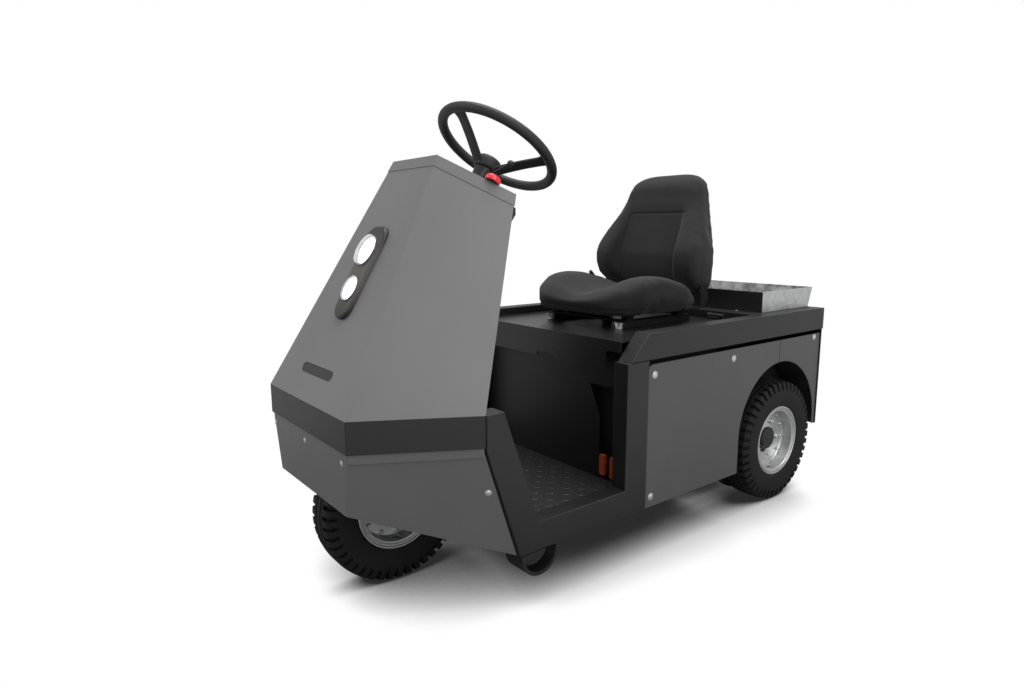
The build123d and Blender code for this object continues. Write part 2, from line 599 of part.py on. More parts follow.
floor_corners = [
    (-INNER, WHEEL_BOX_SIDE),
    (-WHEEL_BOX_FLAT, WHEEL_BOX_BACK),
    (WHEEL_BOX_FLAT, WHEEL_BOX_BACK),
    (INNER, WHEEL_BOX_SIDE),
    (INNER, BULKHEAD_FRONT),
    (-INNER, BULKHEAD_FRONT),
]
floor_face = make_face(Polyline(*[(x, at(y), FLOOR_BOTTOM) for x, y in floor_corners], close=True))
parts["floor_plate"] = extrude(floor_face, amount=FLOOR_THICKNESS, dir=(0, 0, 1))
bulkhead = block(
    (-INNER, INNER),
    (BULKHEAD_FRONT, BULKHEAD_FRONT + DECK_PLATE),
    (TRAY_FLOOR, DECK_TOP - DECK_PLATE - FIT_GAP),
)
HATCH = (                  # how far inside the side frame, height
    (115.0, FLOOR_TOP),
    (115.0, 382.0),
    (157.0, 474.0),
    (39.0, 474.0),
    (39.0, FLOOR_TOP),
)
hatch_wire = Polyline(*[(INNER - x, at(BULKHEAD_FRONT - 5), z) for x, z in HATCH], close=True)
bulkhead -= extrude(make_face(hatch_wire), amount=20, dir=(0, 1, 0))
parts["bulkhead"] = bulkhead

# ==== battery tray, battery and the guide pads inside the hatch =======================================
tray_front = BULKHEAD_FRONT + DECK_PLATE
tray_plate = 5.0
battery_tray = block((-INNER, INNER), (tray_front, BATTERY_TRAY_BACK), (TRAY_FLOOR, TRAY_FLOOR + tray_plate))
panel_inner = HALF - PANEL_RECESS - SHEET
battery_tray += block(
    (-SUBFRAME_X - SUBFRAME_PLATE, SUBFRAME_X + SUBFRAME_PLATE),
    (BATTERY_TRAY_BACK - tray_plate, BATTERY_TRAY_BACK),
    (TRAY_FLOOR, BATTERY_TOP),
)
for side in (-1, 1):
    near, far = sorted((side * (panel_inner - LOWER_RAIL_DEPTH), side * panel_inner))
    battery_tray += block((near, far), (POST_BACK, BATTERY_TRAY_BACK), (TRAY_FLOOR, TRAY_FLOOR + LOWER_RAIL_HEIGHT))
    near, far = sorted((side * INNER, side * (panel_inner - LOWER_RAIL_DEPTH)))
    battery_tray += block((near, far), (POST_BACK, BATTERY_TRAY_BACK), (TRAY_FLOOR, TRAY_FLOOR + tray_plate))

GUIDE_PADS = (             # x from and to, both as distances inside the side frame
    (112.5, 90.0),
    (72.0, 55.0),
)
PAD_SPAN = (207.0, 271.0)  # heights
PAD_FRONT = BULKHEAD_FRONT - 1.5
PAD_THICKNESS = 11.0
POST_HALF = 5.0
pads = []
for near, far in GUIDE_PADS:
    pad = block((INNER - near, INNER - far), (PAD_FRONT, PAD_FRONT + PAD_THICKNESS), PAD_SPAN)
    pads.append(fillet(pad.edges().filter_by(Axis.Y), 6.0))
    middle = INNER - (near + far) / 2
    post_front = PAD_FRONT + PAD_THICKNESS + FIT_GAP
    battery_tray += block(
        (middle - POST_HALF, middle + POST_HALF), (post_front, post_front + 6), (TRAY_FLOOR, PAD_SPAN[1] - 8)
    )
parts["guide_pads"] = Compound(children=pads)
parts["battery_tray"] = battery_tray
parts["battery_block"] = block(
    (-BATTERY_HALF_WIDTH, BATTERY_HALF_WIDTH),
    (BATTERY_FRONT, BATTERY_TRAY_BACK - tray_plate - 5),
    (TRAY_FLOOR + tray_plate, BATTERY_TOP),
)

# ==== seat deck lid with its front lip, and the rear deck that carries its hinges =====================
lid_x = INNER - DECK_SIDE_GAP
lid = block((-lid_x, lid_x), (DECK_FRONT, LID_HINGE[0] - 2), (DECK_TOP - DECK_PLATE, DECK_TOP))
lid += block((-lid_x, lid_x), (DECK_FRONT, DECK_FRONT + DECK_PLATE), (LIP_SHOULDER, DECK_TOP))
lip = block(
    (-LIP_HALF_WIDTH, LIP_HALF_WIDTH), (DECK_FRONT, DECK_FRONT + DECK_PLATE), (LIP_BOTTOM, LIP_SHOULDER)
)
lock = rod((LOCK_HOLE[0], DECK_FRONT - 5, LOCK_HOLE[1]), (LOCK_HOLE[0], DECK_FRONT + 10, LOCK_HOLE[1]), LOCK_HOLE[2])
finger = block(FINGER_SLOT[:2], (DECK_FRONT - 5, DECK_FRONT + 10), (LIP_BOTTOM - 5, LIP_BOTTOM + FINGER_SLOT[2]))
lid += lip - lock - finger
for side in (-1, 1):
    x = side * HINGE_X
    span = (x - KNUCKLE_WIDTH / 2, x + KNUCKLE_WIDTH / 2)
    lid += block(span, (LID_HINGE[0] - 20, LID_HINGE[0]), (DECK_TOP - DECK_PLATE, LID_HINGE[1] - 3))
    lid += cross_rod(span, *LID_HINGE, KNUCKLE_RADIUS)
    lid -= cross_rod((span[0] - 1, span[1] + 1), *LID_HINGE, HINGE_PIN_RADIUS)
parts["deck_lid"] = lid

rear_deck = block((-INNER, INNER), (REAR_DECK_FRONT, RAIL_BACK - CROSSBAR), (RAIL_TOP - DECK_PLATE, RAIL_TOP))
rear_deck += block((-INNER, INNER), (REAR_DECK_FRONT, REAR_DECK_FRONT + DECK_PLATE), (RAIL_BOTTOM, RAIL_TOP))
ear_width = 10.0
pin_radius = HINGE_PIN_RADIUS - RUNNING_CLEARANCE
for side in (-1, 1):
    x = side * HINGE_X
    half = KNUCKLE_WIDTH / 2 + FIT_GAP
    for near in (x - half - ear_width, x + half):
        rear_deck += block(
            (near, near + ear_width),
            (LID_HINGE[0], REAR_DECK_FRONT),
            (LID_HINGE[1] - KNUCKLE_RADIUS, LID_HINGE[1] + KNUCKLE_RADIUS),
        )
        rear_deck += cross_rod((near, near + ear_width), *LID_HINGE, KNUCKLE_RADIUS)
    rear_deck += cross_rod((x - half - ear_width, x + half + ear_width), *LID_HINGE, pin_radius)
parts["rear_deck"] = rear_deck

# ==== side panels, rear quarters, rear panel and wheel arch liners ====================================
arch_s, arch_z = ARCH_CENTRE
panel_x = (panel_inner, HALF - PANEL_RECESS)


def arch_solid(radius, x, low):
    """A wheel arch as a solid: a cylinder with straight sides down to a height."""
    arch = cross_rod(x, arch_s, arch_z, radius)
    return arch + block(x, (arch_s - radius, arch_s + radius), (low, arch_z))


arch_cut = arch_solid(ARCH_RADIUS, (HALF - 20, HALF + 20), 0.0)
panel = block(panel_x, (POST_BACK + PANEL_GAP, PANEL_SPLIT), (GROUND_CLEARANCE, PANEL_TOP)) - arch_cut
corner = panel.edges().filter_by(Axis.X).sort_by(Axis.Y)[:2].sort_by(Axis.Z)[-1]
panel = fillet(corner, PANEL_CORNER)
quarter = block(panel_x, (PANEL_SPLIT + PANEL_GAP, PANEL_BACK), (QUARTER_BOTTOM, PANEL_TOP)) - arch_cut
parts["side_panels"] = both_sides(panel)
parts["rear_quarters"] = both_sides(quarter)
REAR_WALL_BOTTOM = 230.0
parts["rear_panel"] = block((-HALF, HALF), (PANEL_BACK, PANEL_BACK + REAR_WALL), (REAR_WALL_BOTTOM, RAIL_BOTTOM))

liner_radius = ARCH_RADIUS + ARCH_GAP
liner_x = (LINER_INNER, panel_inner)
liner = arch_solid(liner_radius + SHEET, (LINER_INNER - SHEET, panel_inner), GROUND_CLEARANCE + 6)
liner -= arch_solid(liner_radius, liner_x, 0.0)
liner -= block(
    (LINER_INNER - 20, HALF), (arch_s, arch_s + 2 * ARCH_RADIUS), (0.0, QUARTER_BOTTOM)
)
liner -= cross_rod((LINER_INNER - 20, LINER_INNER + 20), REAR_WHEEL[1], TYRE_RADIUS, AXLE_TUBE_RADIUS + 0.2)
parts["wheel_arches"] = both_sides(liner)

# ==== rear subframe, axle and motor ===================================================================
SUBFRAME_TOP = 540.0
SUBFRAME_BOTTOM = 160.0
DRUM_RADIUS = 92.0
MOTOR_RADIUS = 90.0
MOTOR_LENGTH = 127.0
MOTOR_LIFT = 10.0          # height of the motor's axis above the axle
plate = block(
    (SUBFRAME_X, SUBFRAME_X + SUBFRAME_PLATE),
    (BATTERY_TRAY_BACK, PANEL_BACK),
    (SUBFRAME_BOTTOM, SUBFRAME_TOP),
)
plate -= block(
    (SUBFRAME_X - 5, SUBFRAME_X + 20), (REAR_WHEEL[1] + 60, PANEL_BACK), (0.0, REAR_WALL_BOTTOM)
)
plate -= cross_rod((0, 300), REAR_WHEEL[1], TYRE_RADIUS, AXLE_TUBE_RADIUS + 0.2)
parts["rear_subframe"] = both_sides(plate)

axle_end = REAR_WHEEL[0] + REAR_DISH[1][1] + AXLE_STAND
drum_half = SUBFRAME_X * 0.35
axle = cross_rod((-LINER_INNER - 4, LINER_INNER + 4), REAR_WHEEL[1], TYRE_RADIUS, AXLE_TUBE_RADIUS)
axle += cross_rod((-axle_end, axle_end), REAR_WHEEL[1], TYRE_RADIUS, AXLE_RADIUS)
axle += cross_rod((-drum_half, drum_half), REAR_WHEEL[1], TYRE_RADIUS, DRUM_RADIUS)
parts["rear_axle"] = axle
motor_z = TYRE_RADIUS + MOTOR_LIFT
motor_back = REAR_WHEEL[1] - 0.8 * DRUM_RADIUS
motor = rod((0, motor_back - MOTOR_LENGTH, motor_z), (0, motor_back, motor_z), MOTOR_RADIUS)
parts["drive_motor"] = motor - cross_rod((-HALF, HALF), REAR_WHEEL[1], TYRE_RADIUS, DRUM_RADIUS + 0.2)


# ==== wheels: tyre, split rim and hub, turned about X =================================================
def revolve_x(points, x, station):
    """A ring turned about the wheel's axle: points are (distance across, radius) from its centre plane."""
    outline = Polyline(*[(x + a, at(station), TYRE_RADIUS + r) for a, r in points], close=True)
    axle_line = Axis((x, at(station), TYRE_RADIUS), (1, 0, 0))
    return revolve(make_face(outline), axle_line, 360)


TREAD_HALF = 43.0
TREAD_CROWN = 3.0
GROOVE_DEPTH = 9.0
bead = RIM_FLANGE_RADIUS - 8
half = TYRE_WIDTH / 2
tyre_half_profile = [
    (RIM_HALF_WIDTH - 7.3, bead - 6),
    (RIM_HALF_WIDTH - 4.4, RIM_FLANGE_RADIUS - 5),
    (RIM_HALF_WIDTH - 3.4, RIM_FLANGE_RADIUS + 0.4),
    (RIM_HALF_WIDTH + 0.5, RIM_FLANGE_RADIUS + 0.8),
    (half - 2, RIM_FLANGE_RADIUS + 20),
    (half, TYRE_RADIUS - 45),
    (half - 2, TYRE_RADIUS - 24),
    (TREAD_HALF, TYRE_RADIUS - TREAD_CROWN),
    (16.0, TYRE_RADIUS),
    (14.0, TYRE_RADIUS - GROOVE_DEPTH),
    (9.0, TYRE_RADIUS - GROOVE_DEPTH),
    (7.0, TYRE_RADIUS),
]
tyre_profile = tyre_half_profile + [(-a, r) for a, r in reversed(tyre_half_profile)]


def rim_profile(side, bore, dish):
    """A rim's section: double-lipped flanges, bead seats and a disc set well inboard, on its hub."""
    face, hub_span = dish
    w = RIM_HALF_WIDTH
    lip = RIM_FLANGE_RADIUS
    outer = [
        (w, lip),
        (w, lip - 4),
        (w - 6, lip - 8),
        (w - 7, bead - 10),
        (face + 4, bead - 11),
        (face, bead - 14),
        (face, HUB_BARREL + 8),
        (hub_span[1], HUB_BARREL),
        (hub_span[1], bore),
        (hub_span[0], bore),
        (hub_span[0], HUB_BARREL),
        (face - DISC, HUB_BARREL + 8),
        (face - DISC, bead - 14),
        (-w + 7, bead - 10),
        (-w + 6, lip - 8),
        (-w, lip - 4),
        (-w, lip),
        (-w + 3, lip),
        (-w + 4, lip - 5),
        (-w + 7, bead - 6.3),
        (w - 7, bead - 6.3),
        (w - 4, lip - 5),
        (w - 3, lip),
    ]
    return [(side * a, r) for a, r in outer]


RIM_BOLTS = (12, 88.5, 6.5, 6.0, 23.0)     # count, circle, radius, stand, degrees to the first
FRONT_BOLTS = (12, 88.5, 6.5, 6.0, 7.0)    # both join a rim's two halves
WHEEL_NUTS = (5, 60.0, 9.0, 9.0, -5.0)     # hold a rear rim to its hub
VALVE_SLOT = (17.0, 9.0, 24.0)             # out from the middle, width, length round the barrel


def wheel_set(x, station, side, bore, dish, rings):
    """Tyre and rim at a place, with the dished face turned to one side and rings of bolts on its disc."""
    tyre = revolve_x(tyre_profile, x, station)
    rim = revolve_x(rim_profile(side, bore, dish), x, station)
    for count, circle, radius, stand, first in rings:
        span = sorted((x + side * (dish[0] - 1), x + side * (dish[0] + stand)))
        for k in range(count):
            a = math.radians(first + 360.0 * k / count)
            s, z = station + circle * math.cos(a), TYRE_RADIUS + circle * math.sin(a)
            rim += cross_rod(span, s, z, radius)
    out, width, length = VALVE_SLOT
    below = Plane(origin=(x + side * out, at(station), TYRE_RADIUS - bead), x_dir=(0, 1, 0), z_dir=(0, 0, -1))
    rim -= extrude(below * SlotOverall(length, width), amount=20, both=True)
    return tyre, rim


axle_bore = AXLE_RADIUS + RUNNING_CLEARANCE
for name, side in (("left", 1), ("right", -1)):
    x = side * REAR_WHEEL[0]
    tyre, rim = wheel_set(x, REAR_WHEEL[1], side, axle_bore, REAR_DISH, (RIM_BOLTS, WHEEL_NUTS))
    parts["rear_tyre_" + name] = tyre
    parts["rear_rim_" + name] = rim
    hub_end = x + side * REAR_DISH[1][1]
    span = sorted((hub_end, hub_end + side * CAP_STAND))
    cap = cross_rod(span, REAR_WHEEL[1], TYRE_RADIUS, CAP_RADIUS)
    cap += cross_rod(span, REAR_WHEEL[1] + CAP_PLUG[0], TYRE_RADIUS + CAP_PLUG[1], CAP_PLUG[2])
    inner = sorted((hub_end - side * 5, hub_end + side * (AXLE_STAND + 2)))
    parts["hub_cap_" + name] = cap - cross_rod(inner, REAR_WHEEL[1], TYRE_RADIUS, AXLE_RADIUS + 2)

FRONT_PIN_RADIUS = 12.0
front_bore = FRONT_PIN_RADIUS + RUNNING_CLEARANCE
tyre, rim = wheel_set(0.0, FRONT_AXLE, 1, front_bore, FRONT_DISH, (FRONT_BOLTS,))
parts["front_tyre"] = tyre
parts["front_rim"] = rim

# ==== front fork ======================================================================================
leg_out = FORK_LEG_INNER + FORK_LEG
fork = block((-leg_out, leg_out), (FRONT_AXLE - 40, FRONT_AXLE + 40), (FORK_CROWN_BOTTOM, FORK_CROWN_BOTTOM + FORK_CROWN))
fork += rod((0, FRONT_AXLE, FORK_CROWN_BOTTOM), (0, FRONT_AXLE, KINGPIN_TOP), KINGPIN_RADIUS)
for side in (-1, 1):
    span = sorted((side * FORK_LEG_INNER, side * leg_out))
    leg = [
        (FRONT_AXLE - 40, FORK_CROWN_BOTTOM + FORK_CROWN),
        (FRONT_AXLE + 40, FORK_CROWN_BOTTOM + FORK_CROWN),
        (FRONT_AXLE + 26, TYRE_RADIUS),
        (FRONT_AXLE - 26, TYRE_RADIUS),
    ]
    fork += side_profile(leg, span)
    fork += cross_rod(span, FRONT_AXLE, TYRE_RADIUS, 26.0)
    boss = sorted((side * 26.4, side * FORK_LEG_INNER))
    fork += cross_rod(boss, FRONT_AXLE, TYRE_RADIUS, 20.0)
fork += cross_rod((-leg_out - 10, leg_out + 10), FRONT_AXLE, TYRE_RADIUS, FRONT_PIN_RADIUS)
parts["front_fork"] = fork

# ==== seat: rails on the lid, sliding frame, cushion, backrest ========================================
rail_z = (DECK_TOP, DECK_TOP + SEAT_RAIL_HEIGHT)
rail_s = (SEAT_RAIL_FRONT, SEAT_RAIL_FRONT + SEAT_RAIL_LENGTH)
rail_half = SEAT_RAIL_WIDTH / 2
RAIL_SECTION = (           # share of the rail's half width, of its height, then the same for its inner face
    (1.0, 1.0, 0.76, 1.0),
    (0.63, 0.53, 0.4, 0.53),
    (0.56, 0.0, 0.33, 0.16),
)
rail_outer = [(a * rail_half, b * SEAT_RAIL_HEIGHT) for a, b, _, _ in RAIL_SECTION]
rail_inner = [(c * rail_half, d * SEAT_RAIL_HEIGHT) for _, _, c, d in RAIL_SECTION]
rail_points = rail_outer + [(-a, b) for a, b in reversed(rail_outer)]
rail_points += [(-a, b) for a, b in rail_inner] + list(reversed(rail_inner))
rail_wire = Polyline(*[(SEAT_RAIL_X + a, at(rail_s[0]), DECK_TOP + b) for a, b in rail_points], close=True)
parts["seat_rails"] = both_sides(extrude(make_face(rail_wire), amount=SEAT_RAIL_LENGTH, dir=(0, 1, 0)))

slide_half = rail_half + FIT_GAP + SLIDE_WALL
slide_top = rail_z[1] + FIT_GAP + SLIDE_WALL
frame = None
for side in (-1, 1):
    x = side * SEAT_RAIL_X
    slide_s = (rail_s[0] + SLIDE_FRONT, rail_s[1])
    channel = block((x - slide_half, x + slide_half), slide_s, (rail_z[0] + 2, slide_top))
    channel -= block(
        (x - rail_half - FIT_GAP, x + rail_half + FIT_GAP), (rail_s[0], rail_s[1] + 1), (0.0, rail_z[1] + FIT_GAP)
    )
    for s in (rail_s[0] + 30, rail_s[1] - 60):
        channel += block((x - 12, x + 12), (s, s + 30), (slide_top, PAN_BOTTOM))
    frame = channel if frame is None else frame + channel
pan_half = SEAT_RAIL_X + 34
frame += block((-pan_half, pan_half), (rail_s[0] - 10, rail_s[1] - 16), (PAN_BOTTOM, PAN_BOTTOM + PAN_THICKNESS))
frame += block((-SEAT_RAIL_X, SEAT_RAIL_X), (slide_s[0] + 4, slide_s[0] + 16), (slide_top - 3, slide_top + 5))
for side in (-1, 1):
    span = sorted((side * BRACKET_X, side * (BRACKET_X + BRACKET)))
    bracket = [
        (CUSHION_BACK - 78, PAN_BOTTOM),
        (BACK_PIVOT[0] + 4, PAN_BOTTOM),
        (BACK_PIVOT[0] + 20, BACK_PIVOT[1] - 8),
        (BACK_PIVOT[0] + 20, BACK_PIVOT[1] + 14),
        (BACK_PIVOT[0] - 18, BACK_PIVOT[1] + 14),
        (CUSHION_BACK + 4, PAN_BOTTOM + PAN_THICKNESS),
        (CUSHION_BACK - 78, PAN_BOTTOM + PAN_THICKNESS),
    ]
    frame += side_profile(bracket, span)
    link = sorted((side * (pan_half - 10), side * (BRACKET_X + BRACKET)))
    frame += block(link, (CUSHION_BACK - 78, rail_s[1] - 16), (PAN_BOTTOM, PAN_BOTTOM + PAN_THICKNESS))
    pin = sorted((side * (BRACKET_X - 16), side * BRACKET_X))
    frame += cross_rod(pin, *BACK_PIVOT, PIVOT_PIN_RADIUS)
parts["seat_frame"] = frame

# cushion: a plan and a side view crossed, with a trough between the side bolsters
CUSHION_PLAN = (           # inset from the half width, distance behind the front edge
    (98.0, 0.0),
    (63.0, 13.0),
    (28.0, 45.0),
    (6.0, 100.0),
    (0.0, 180.0),
    (0.0, 300.0),
    (13.0, 358.0),
    (30.0, 366.0),
)
CUSHION_SIDE = (           # distance behind the front edge, drop from the top of the bolsters
    (12.0, CUSHION_THICKNESS),
    (0.0, 66.0),
    (8.0, 48.0),
    (34.0, 32.0),
    (100.0, 12.0),
    (170.0, 2.0),
    (215.0, 0.0),
    (280.0, 8.0),
    (325.0, 26.0),
    (354.0, 52.0),
    (366.0, 80.0),
    (366.0, CUSHION_THICKNESS),
)
TROUGH_DEPTH = 36.0
TROUGH_RADIUS = 330.0
half_plan = [(CUSHION_HALF_WIDTH - inset, at(CUSHION_FRONT + s)) for inset, s in CUSHION_PLAN]
plan = half_plan + [(-x, y) for x, y in reversed(half_plan)]
cushion_face = make_face(Polyline(*[(x, y, CUSHION_BOTTOM) for x, y in plan], close=True))
cushion = extrude(cushion_face, amount=CUSHION_THICKNESS, dir=(0, 0, 1))
cushion &= side_profile([(CUSHION_FRONT + s, CUSHION_TOP - drop) for s, drop in CUSHION_SIDE], (-HALF, HALF))
trough_z = CUSHION_TOP - TROUGH_DEPTH + TROUGH_RADIUS
cushion -= rod((0, CUSHION_FRONT - 60, trough_z), (0, CUSHION_BACK + 60, trough_z), TROUGH_RADIUS)
parts["seat_cushion"] = cushion

# backrest in its own frame: X across, Y up the back from the pivot, Z forwards out of the back
lean = math.radians(BACK_LEAN)
back_plane = Plane(
    origin=(0, at(BACK_PIVOT[0]), BACK_PIVOT[1]), x_dir=(1, 0, 0), z_dir=(0, -math.cos(lean), math.sin(lean))
)
BACK_OUTLINE = (           # half width at a distance up from the pivot
    (188.0, 20.0),
    (BACK_HALF_WIDTH, 56.0),
    (BACK_HALF_WIDTH, 160.0),
    (195.0, 205.0),
    (172.0, 280.0),
    (150.0, 353.0),
    (136.0, 383.0),
    (108.0, 402.0),
    (60.0, 410.0),
)
BOLSTER_FRONT = (          # distance up from the pivot, distance ahead of it
    (64.0, 67.0),
    (94.0, 86.0),
    (125.0, 90.0),
    (154.0, 83.0),
    (196.0, 64.0),
    (240.0, 45.0),
    (280.0, 28.0),
    (314.0, 17.0),
    (353.0, 13.0),
    (388.0, 5.0),
    (412.0, -16.0),
)
CENTRE_FRONT = (
    (44.0, 34.0),
    (80.0, 42.0),
    (125.0, 46.0),
    (196.0, 34.0),
    (280.0, 22.0),
    (353.0, 13.0),
    (420.0, 13.0),
)
PANEL_HALF = 120.0         # half width of the centre panel
BOLSTER_SLOPE = 26.0       # width of the bolsters' inner slopes


def back_side_view(front, x):
    """The backrest's side view behind a front line, solid between two x values."""
    line = [(0, h, n) for h, n in front]
    line += [(0, front[-1][0], BACK_REAR), (0, BACK_OUTLINE[0][1], BACK_REAR), (0, front[0][0] - 24, 26)]
    face = back_plane * make_face(Polyline(*line, close=True))
    return Pos(x[0], 0, 0) * extrude(face, amount=x[1] - x[0], dir=(1, 0, 0))


right_edge = [(w, h) for w, h in BACK_OUTLINE]
back_face = make_face(Polyline(*right_edge, *[(-w, h) for w, h in reversed(right_edge)], close=True))
backrest = extrude(back_plane * Pos(0, 0, BACK_REAR) * back_face, amount=160)
backrest &= back_side_view(BOLSTER_FRONT, (-BACK_HALF_WIDTH, BACK_HALF_WIDTH))
wide = PANEL_HALF + BOLSTER_SLOPE
channel_face = Polyline((-PANEL_HALF, 0, 20), (PANEL_HALF, 0, 20), (wide, 0, 100), (-wide, 0, 100), close=True)
channel = extrude(back_plane * make_face(channel_face), amount=450, dir=(0, math.sin(lean), math.cos(lean)))
backrest -= channel - back_side_view(CENTRE_FRONT, (-BACK_HALF_WIDTH, BACK_HALF_WIDTH))
parts["seat_backrest"] = backrest

STRAP = ((-18.0, -14.0), (18.0, -14.0), (20.0, 60.0), (8.0, 92.0), (-8.0, 92.0), (-20.0, 60.0))
strap_face = back_plane * make_face(Polyline(*[(0, h, n) for n, h in STRAP], close=True))
strap = Pos(BACK_HALF_WIDTH + FIT_GAP, 0, 0) * extrude(strap_face, amount=BRACKET, dir=(1, 0, 0))
strap -= cross_rod((BACK_HALF_WIDTH - 5, BRACKET_X), *BACK_PIVOT, PIVOT_PIN_RADIUS + RUNNING_CLEARANCE)
parts["backrest_brackets"] = both_sides(strap)

LEVER_X = 238.0            # outboard of the cushion on the driver's right
LEVER_RADIUS = 6.5
boss_x = (-LEVER_X - LEVER_RADIUS - 2, -BRACKET_X - BRACKET)
recline = cross_rod(boss_x, BACK_PIVOT[0], BACK_PIVOT[1], 11.0)
recline += rod((-LEVER_X, *BACK_PIVOT), (-LEVER_X, BACK_PIVOT[0] - 68, BACK_PIVOT[1] + 64), LEVER_RADIUS)
parts["recline_lever"] = recline

# ==== cargo tray with a flared back, and the black panel in front of it ===============================
side_wall = [
    (TRAY_FRONT, RAIL_TOP),
    (TRAY_FLOOR_BACK, RAIL_TOP),
    (TRAY_TOP_BACK, TRAY_TOP),
    (TRAY_FRONT, TRAY_TOP),
]
inner_wall = [
    (TRAY_FRONT - 50, RAIL_TOP + TRAY_WALL),
    (TRAY_FLOOR_BACK - TRAY_WALL, RAIL_TOP + TRAY_WALL),
    (TRAY_TOP_BACK - TRAY_WALL + 20, TRAY_TOP + 55),
    (TRAY_FRONT - 50, TRAY_TOP + 55),
]
tray = side_profile(side_wall, (-TRAY_HALF_WIDTH, TRAY_HALF_WIDTH))
tray -= side_profile(inner_wall, (-TRAY_HALF_WIDTH + TRAY_WALL, TRAY_HALF_WIDTH - TRAY_WALL))
parts["cargo_tray"] = tray
parts["tray_front_panel"] = block(
    (-TRAY_HALF_WIDTH, TRAY_HALF_WIDTH), (TRAY_FRONT - TRAY_WALL, TRAY_FRONT), (RAIL_TOP, TRAY_TOP - 1)
)

# ==== tow hitch: three plates and a drop pin ==========================================================
HITCH_PLATE = 12.0
jaw_half = TOW_JAW_WIDTH / 2
hitch = block(
    (-jaw_half - 30, jaw_half + 30),
    (HITCH_FACE, HITCH_FACE + HITCH_PLATE),
    (TOW_JAW_LEVELS[0] - 30, TOW_JAW_LEVELS[-1] + TOW_PLATE + 30),
)
for level in TOW_JAW_LEVELS:
    jaw = block((-jaw_half, jaw_half), (HITCH_FACE, TOW_PIN), (level, level + TOW_PLATE))
    jaw += block((-jaw_half, jaw_half), (TOW_PIN - 1, LENGTH), (level, level + TOW_PLATE)) & rod(
        (0, LENGTH - jaw_half * 1.2, level), (0, LENGTH - jaw_half * 1.2, level + TOW_PLATE), jaw_half * 1.2
    )
    hitch += jaw
for side in (-1, 1):
    web = sorted((side * jaw_half, side * (jaw_half - 10)))
    hitch += block(
        web, (HITCH_FACE, TOW_PIN - 46), (TOW_JAW_LEVELS[0], TOW_JAW_LEVELS[-1] + TOW_PLATE)
    )
pin_low = TOW_JAW_LEVELS[0] - 8
pin_top = TOW_JAW_LEVELS[-1] + TOW_PLATE
hitch -= rod((0, TOW_PIN, pin_low - 20), (0, TOW_PIN, pin_top + 20), TOW_PIN_RADIUS + RUNNING_CLEARANCE)
parts["tow_hitch"] = hitch
pin = rod((0, TOW_PIN, pin_low), (0, TOW_PIN, pin_top + 46), TOW_PIN_RADIUS)
pin += rod((0, TOW_PIN, pin_top + FIT_GAP), (0, TOW_PIN, pin_top + 8), TOW_PIN_RADIUS + 8)
pin += cross_rod((-34, 34), TOW_PIN, pin_top + 46, 7.0)
parts["tow_pin"] = pin

# ==== rear lamps and pedals ===========================================================================
LAMP_X = 300.0
LAMP_Z = 520.0
LAMP_RADIUS = 32.0
lamp = rod((LAMP_X, HITCH_FACE, LAMP_Z), (LAMP_X, HITCH_FACE + 14, LAMP_Z), LAMP_RADIUS)
parts["rear_lamps"] = both_sides(lamp)

PEDALS = ((28.0, 46.0), (90.0, 56.0))       # x centre towards the right, width
PEDAL_HEIGHTS = (268.0, 278.0, 300.0, 352.0)
PEDAL_REACH = 52.0
pedals = []
for x, width in PEDALS:
    pad = side_profile(
        [
            (WHEEL_BOX_BACK, PEDAL_HEIGHTS[2]),
            (WHEEL_BOX_BACK + PEDAL_REACH - 6, PEDAL_HEIGHTS[0]),
            (WHEEL_BOX_BACK + PEDAL_REACH, PEDAL_HEIGHTS[1]),
            (WHEEL_BOX_BACK, PEDAL_HEIGHTS[3]),
        ],
        (-x - width / 2, -x + width / 2),
    )
    pedals.append(pad)
parts["pedals"] = Compound(children=pedals)

os.makedirs("parts", exist_ok=True)
for name, shape in parts.items():
    export_step(shape, "parts/" + name + ".step")
print(len(parts), "pieces")
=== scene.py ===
import math

import bmesh
import bpy
import numpy as np
from mathutils import Matrix, Vector


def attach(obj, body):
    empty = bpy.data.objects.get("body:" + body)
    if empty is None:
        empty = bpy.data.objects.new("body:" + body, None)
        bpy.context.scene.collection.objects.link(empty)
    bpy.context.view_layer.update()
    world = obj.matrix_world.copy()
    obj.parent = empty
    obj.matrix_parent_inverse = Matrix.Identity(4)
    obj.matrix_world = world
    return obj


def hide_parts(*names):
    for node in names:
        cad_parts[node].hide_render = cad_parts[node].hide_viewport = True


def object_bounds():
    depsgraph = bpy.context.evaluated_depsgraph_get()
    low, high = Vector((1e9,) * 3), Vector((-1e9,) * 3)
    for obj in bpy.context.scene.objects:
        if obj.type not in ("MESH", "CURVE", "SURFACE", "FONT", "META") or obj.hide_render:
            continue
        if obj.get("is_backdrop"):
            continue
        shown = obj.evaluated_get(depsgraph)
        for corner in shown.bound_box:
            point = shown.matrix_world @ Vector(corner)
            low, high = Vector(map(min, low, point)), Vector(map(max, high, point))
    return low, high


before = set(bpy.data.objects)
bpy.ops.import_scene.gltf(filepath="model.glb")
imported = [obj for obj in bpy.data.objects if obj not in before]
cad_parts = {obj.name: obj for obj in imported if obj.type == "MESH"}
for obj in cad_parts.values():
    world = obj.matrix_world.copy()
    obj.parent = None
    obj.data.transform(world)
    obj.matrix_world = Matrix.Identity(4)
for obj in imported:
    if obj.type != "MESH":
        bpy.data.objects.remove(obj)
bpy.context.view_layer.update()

# ==== camera, floor and light ============================================================================
# A camera off the tractor's left front corner, at the height of its cowl, on a white floor that runs
# into a white surround. Three broad soft lamps and a dim sky light it.
CAMERA_PLACE = (1.5438, -1.4948, 0.9211)
CAMERA_YAW, CAMERA_PITCH, CAMERA_ROLL = 51.80, 9.54, -0.18
camera_data = bpy.data.cameras.new("camera")
camera_data.sensor_width = 36.0
camera_data.lens = 23.67
camera = bpy.data.objects.new("camera", camera_data)
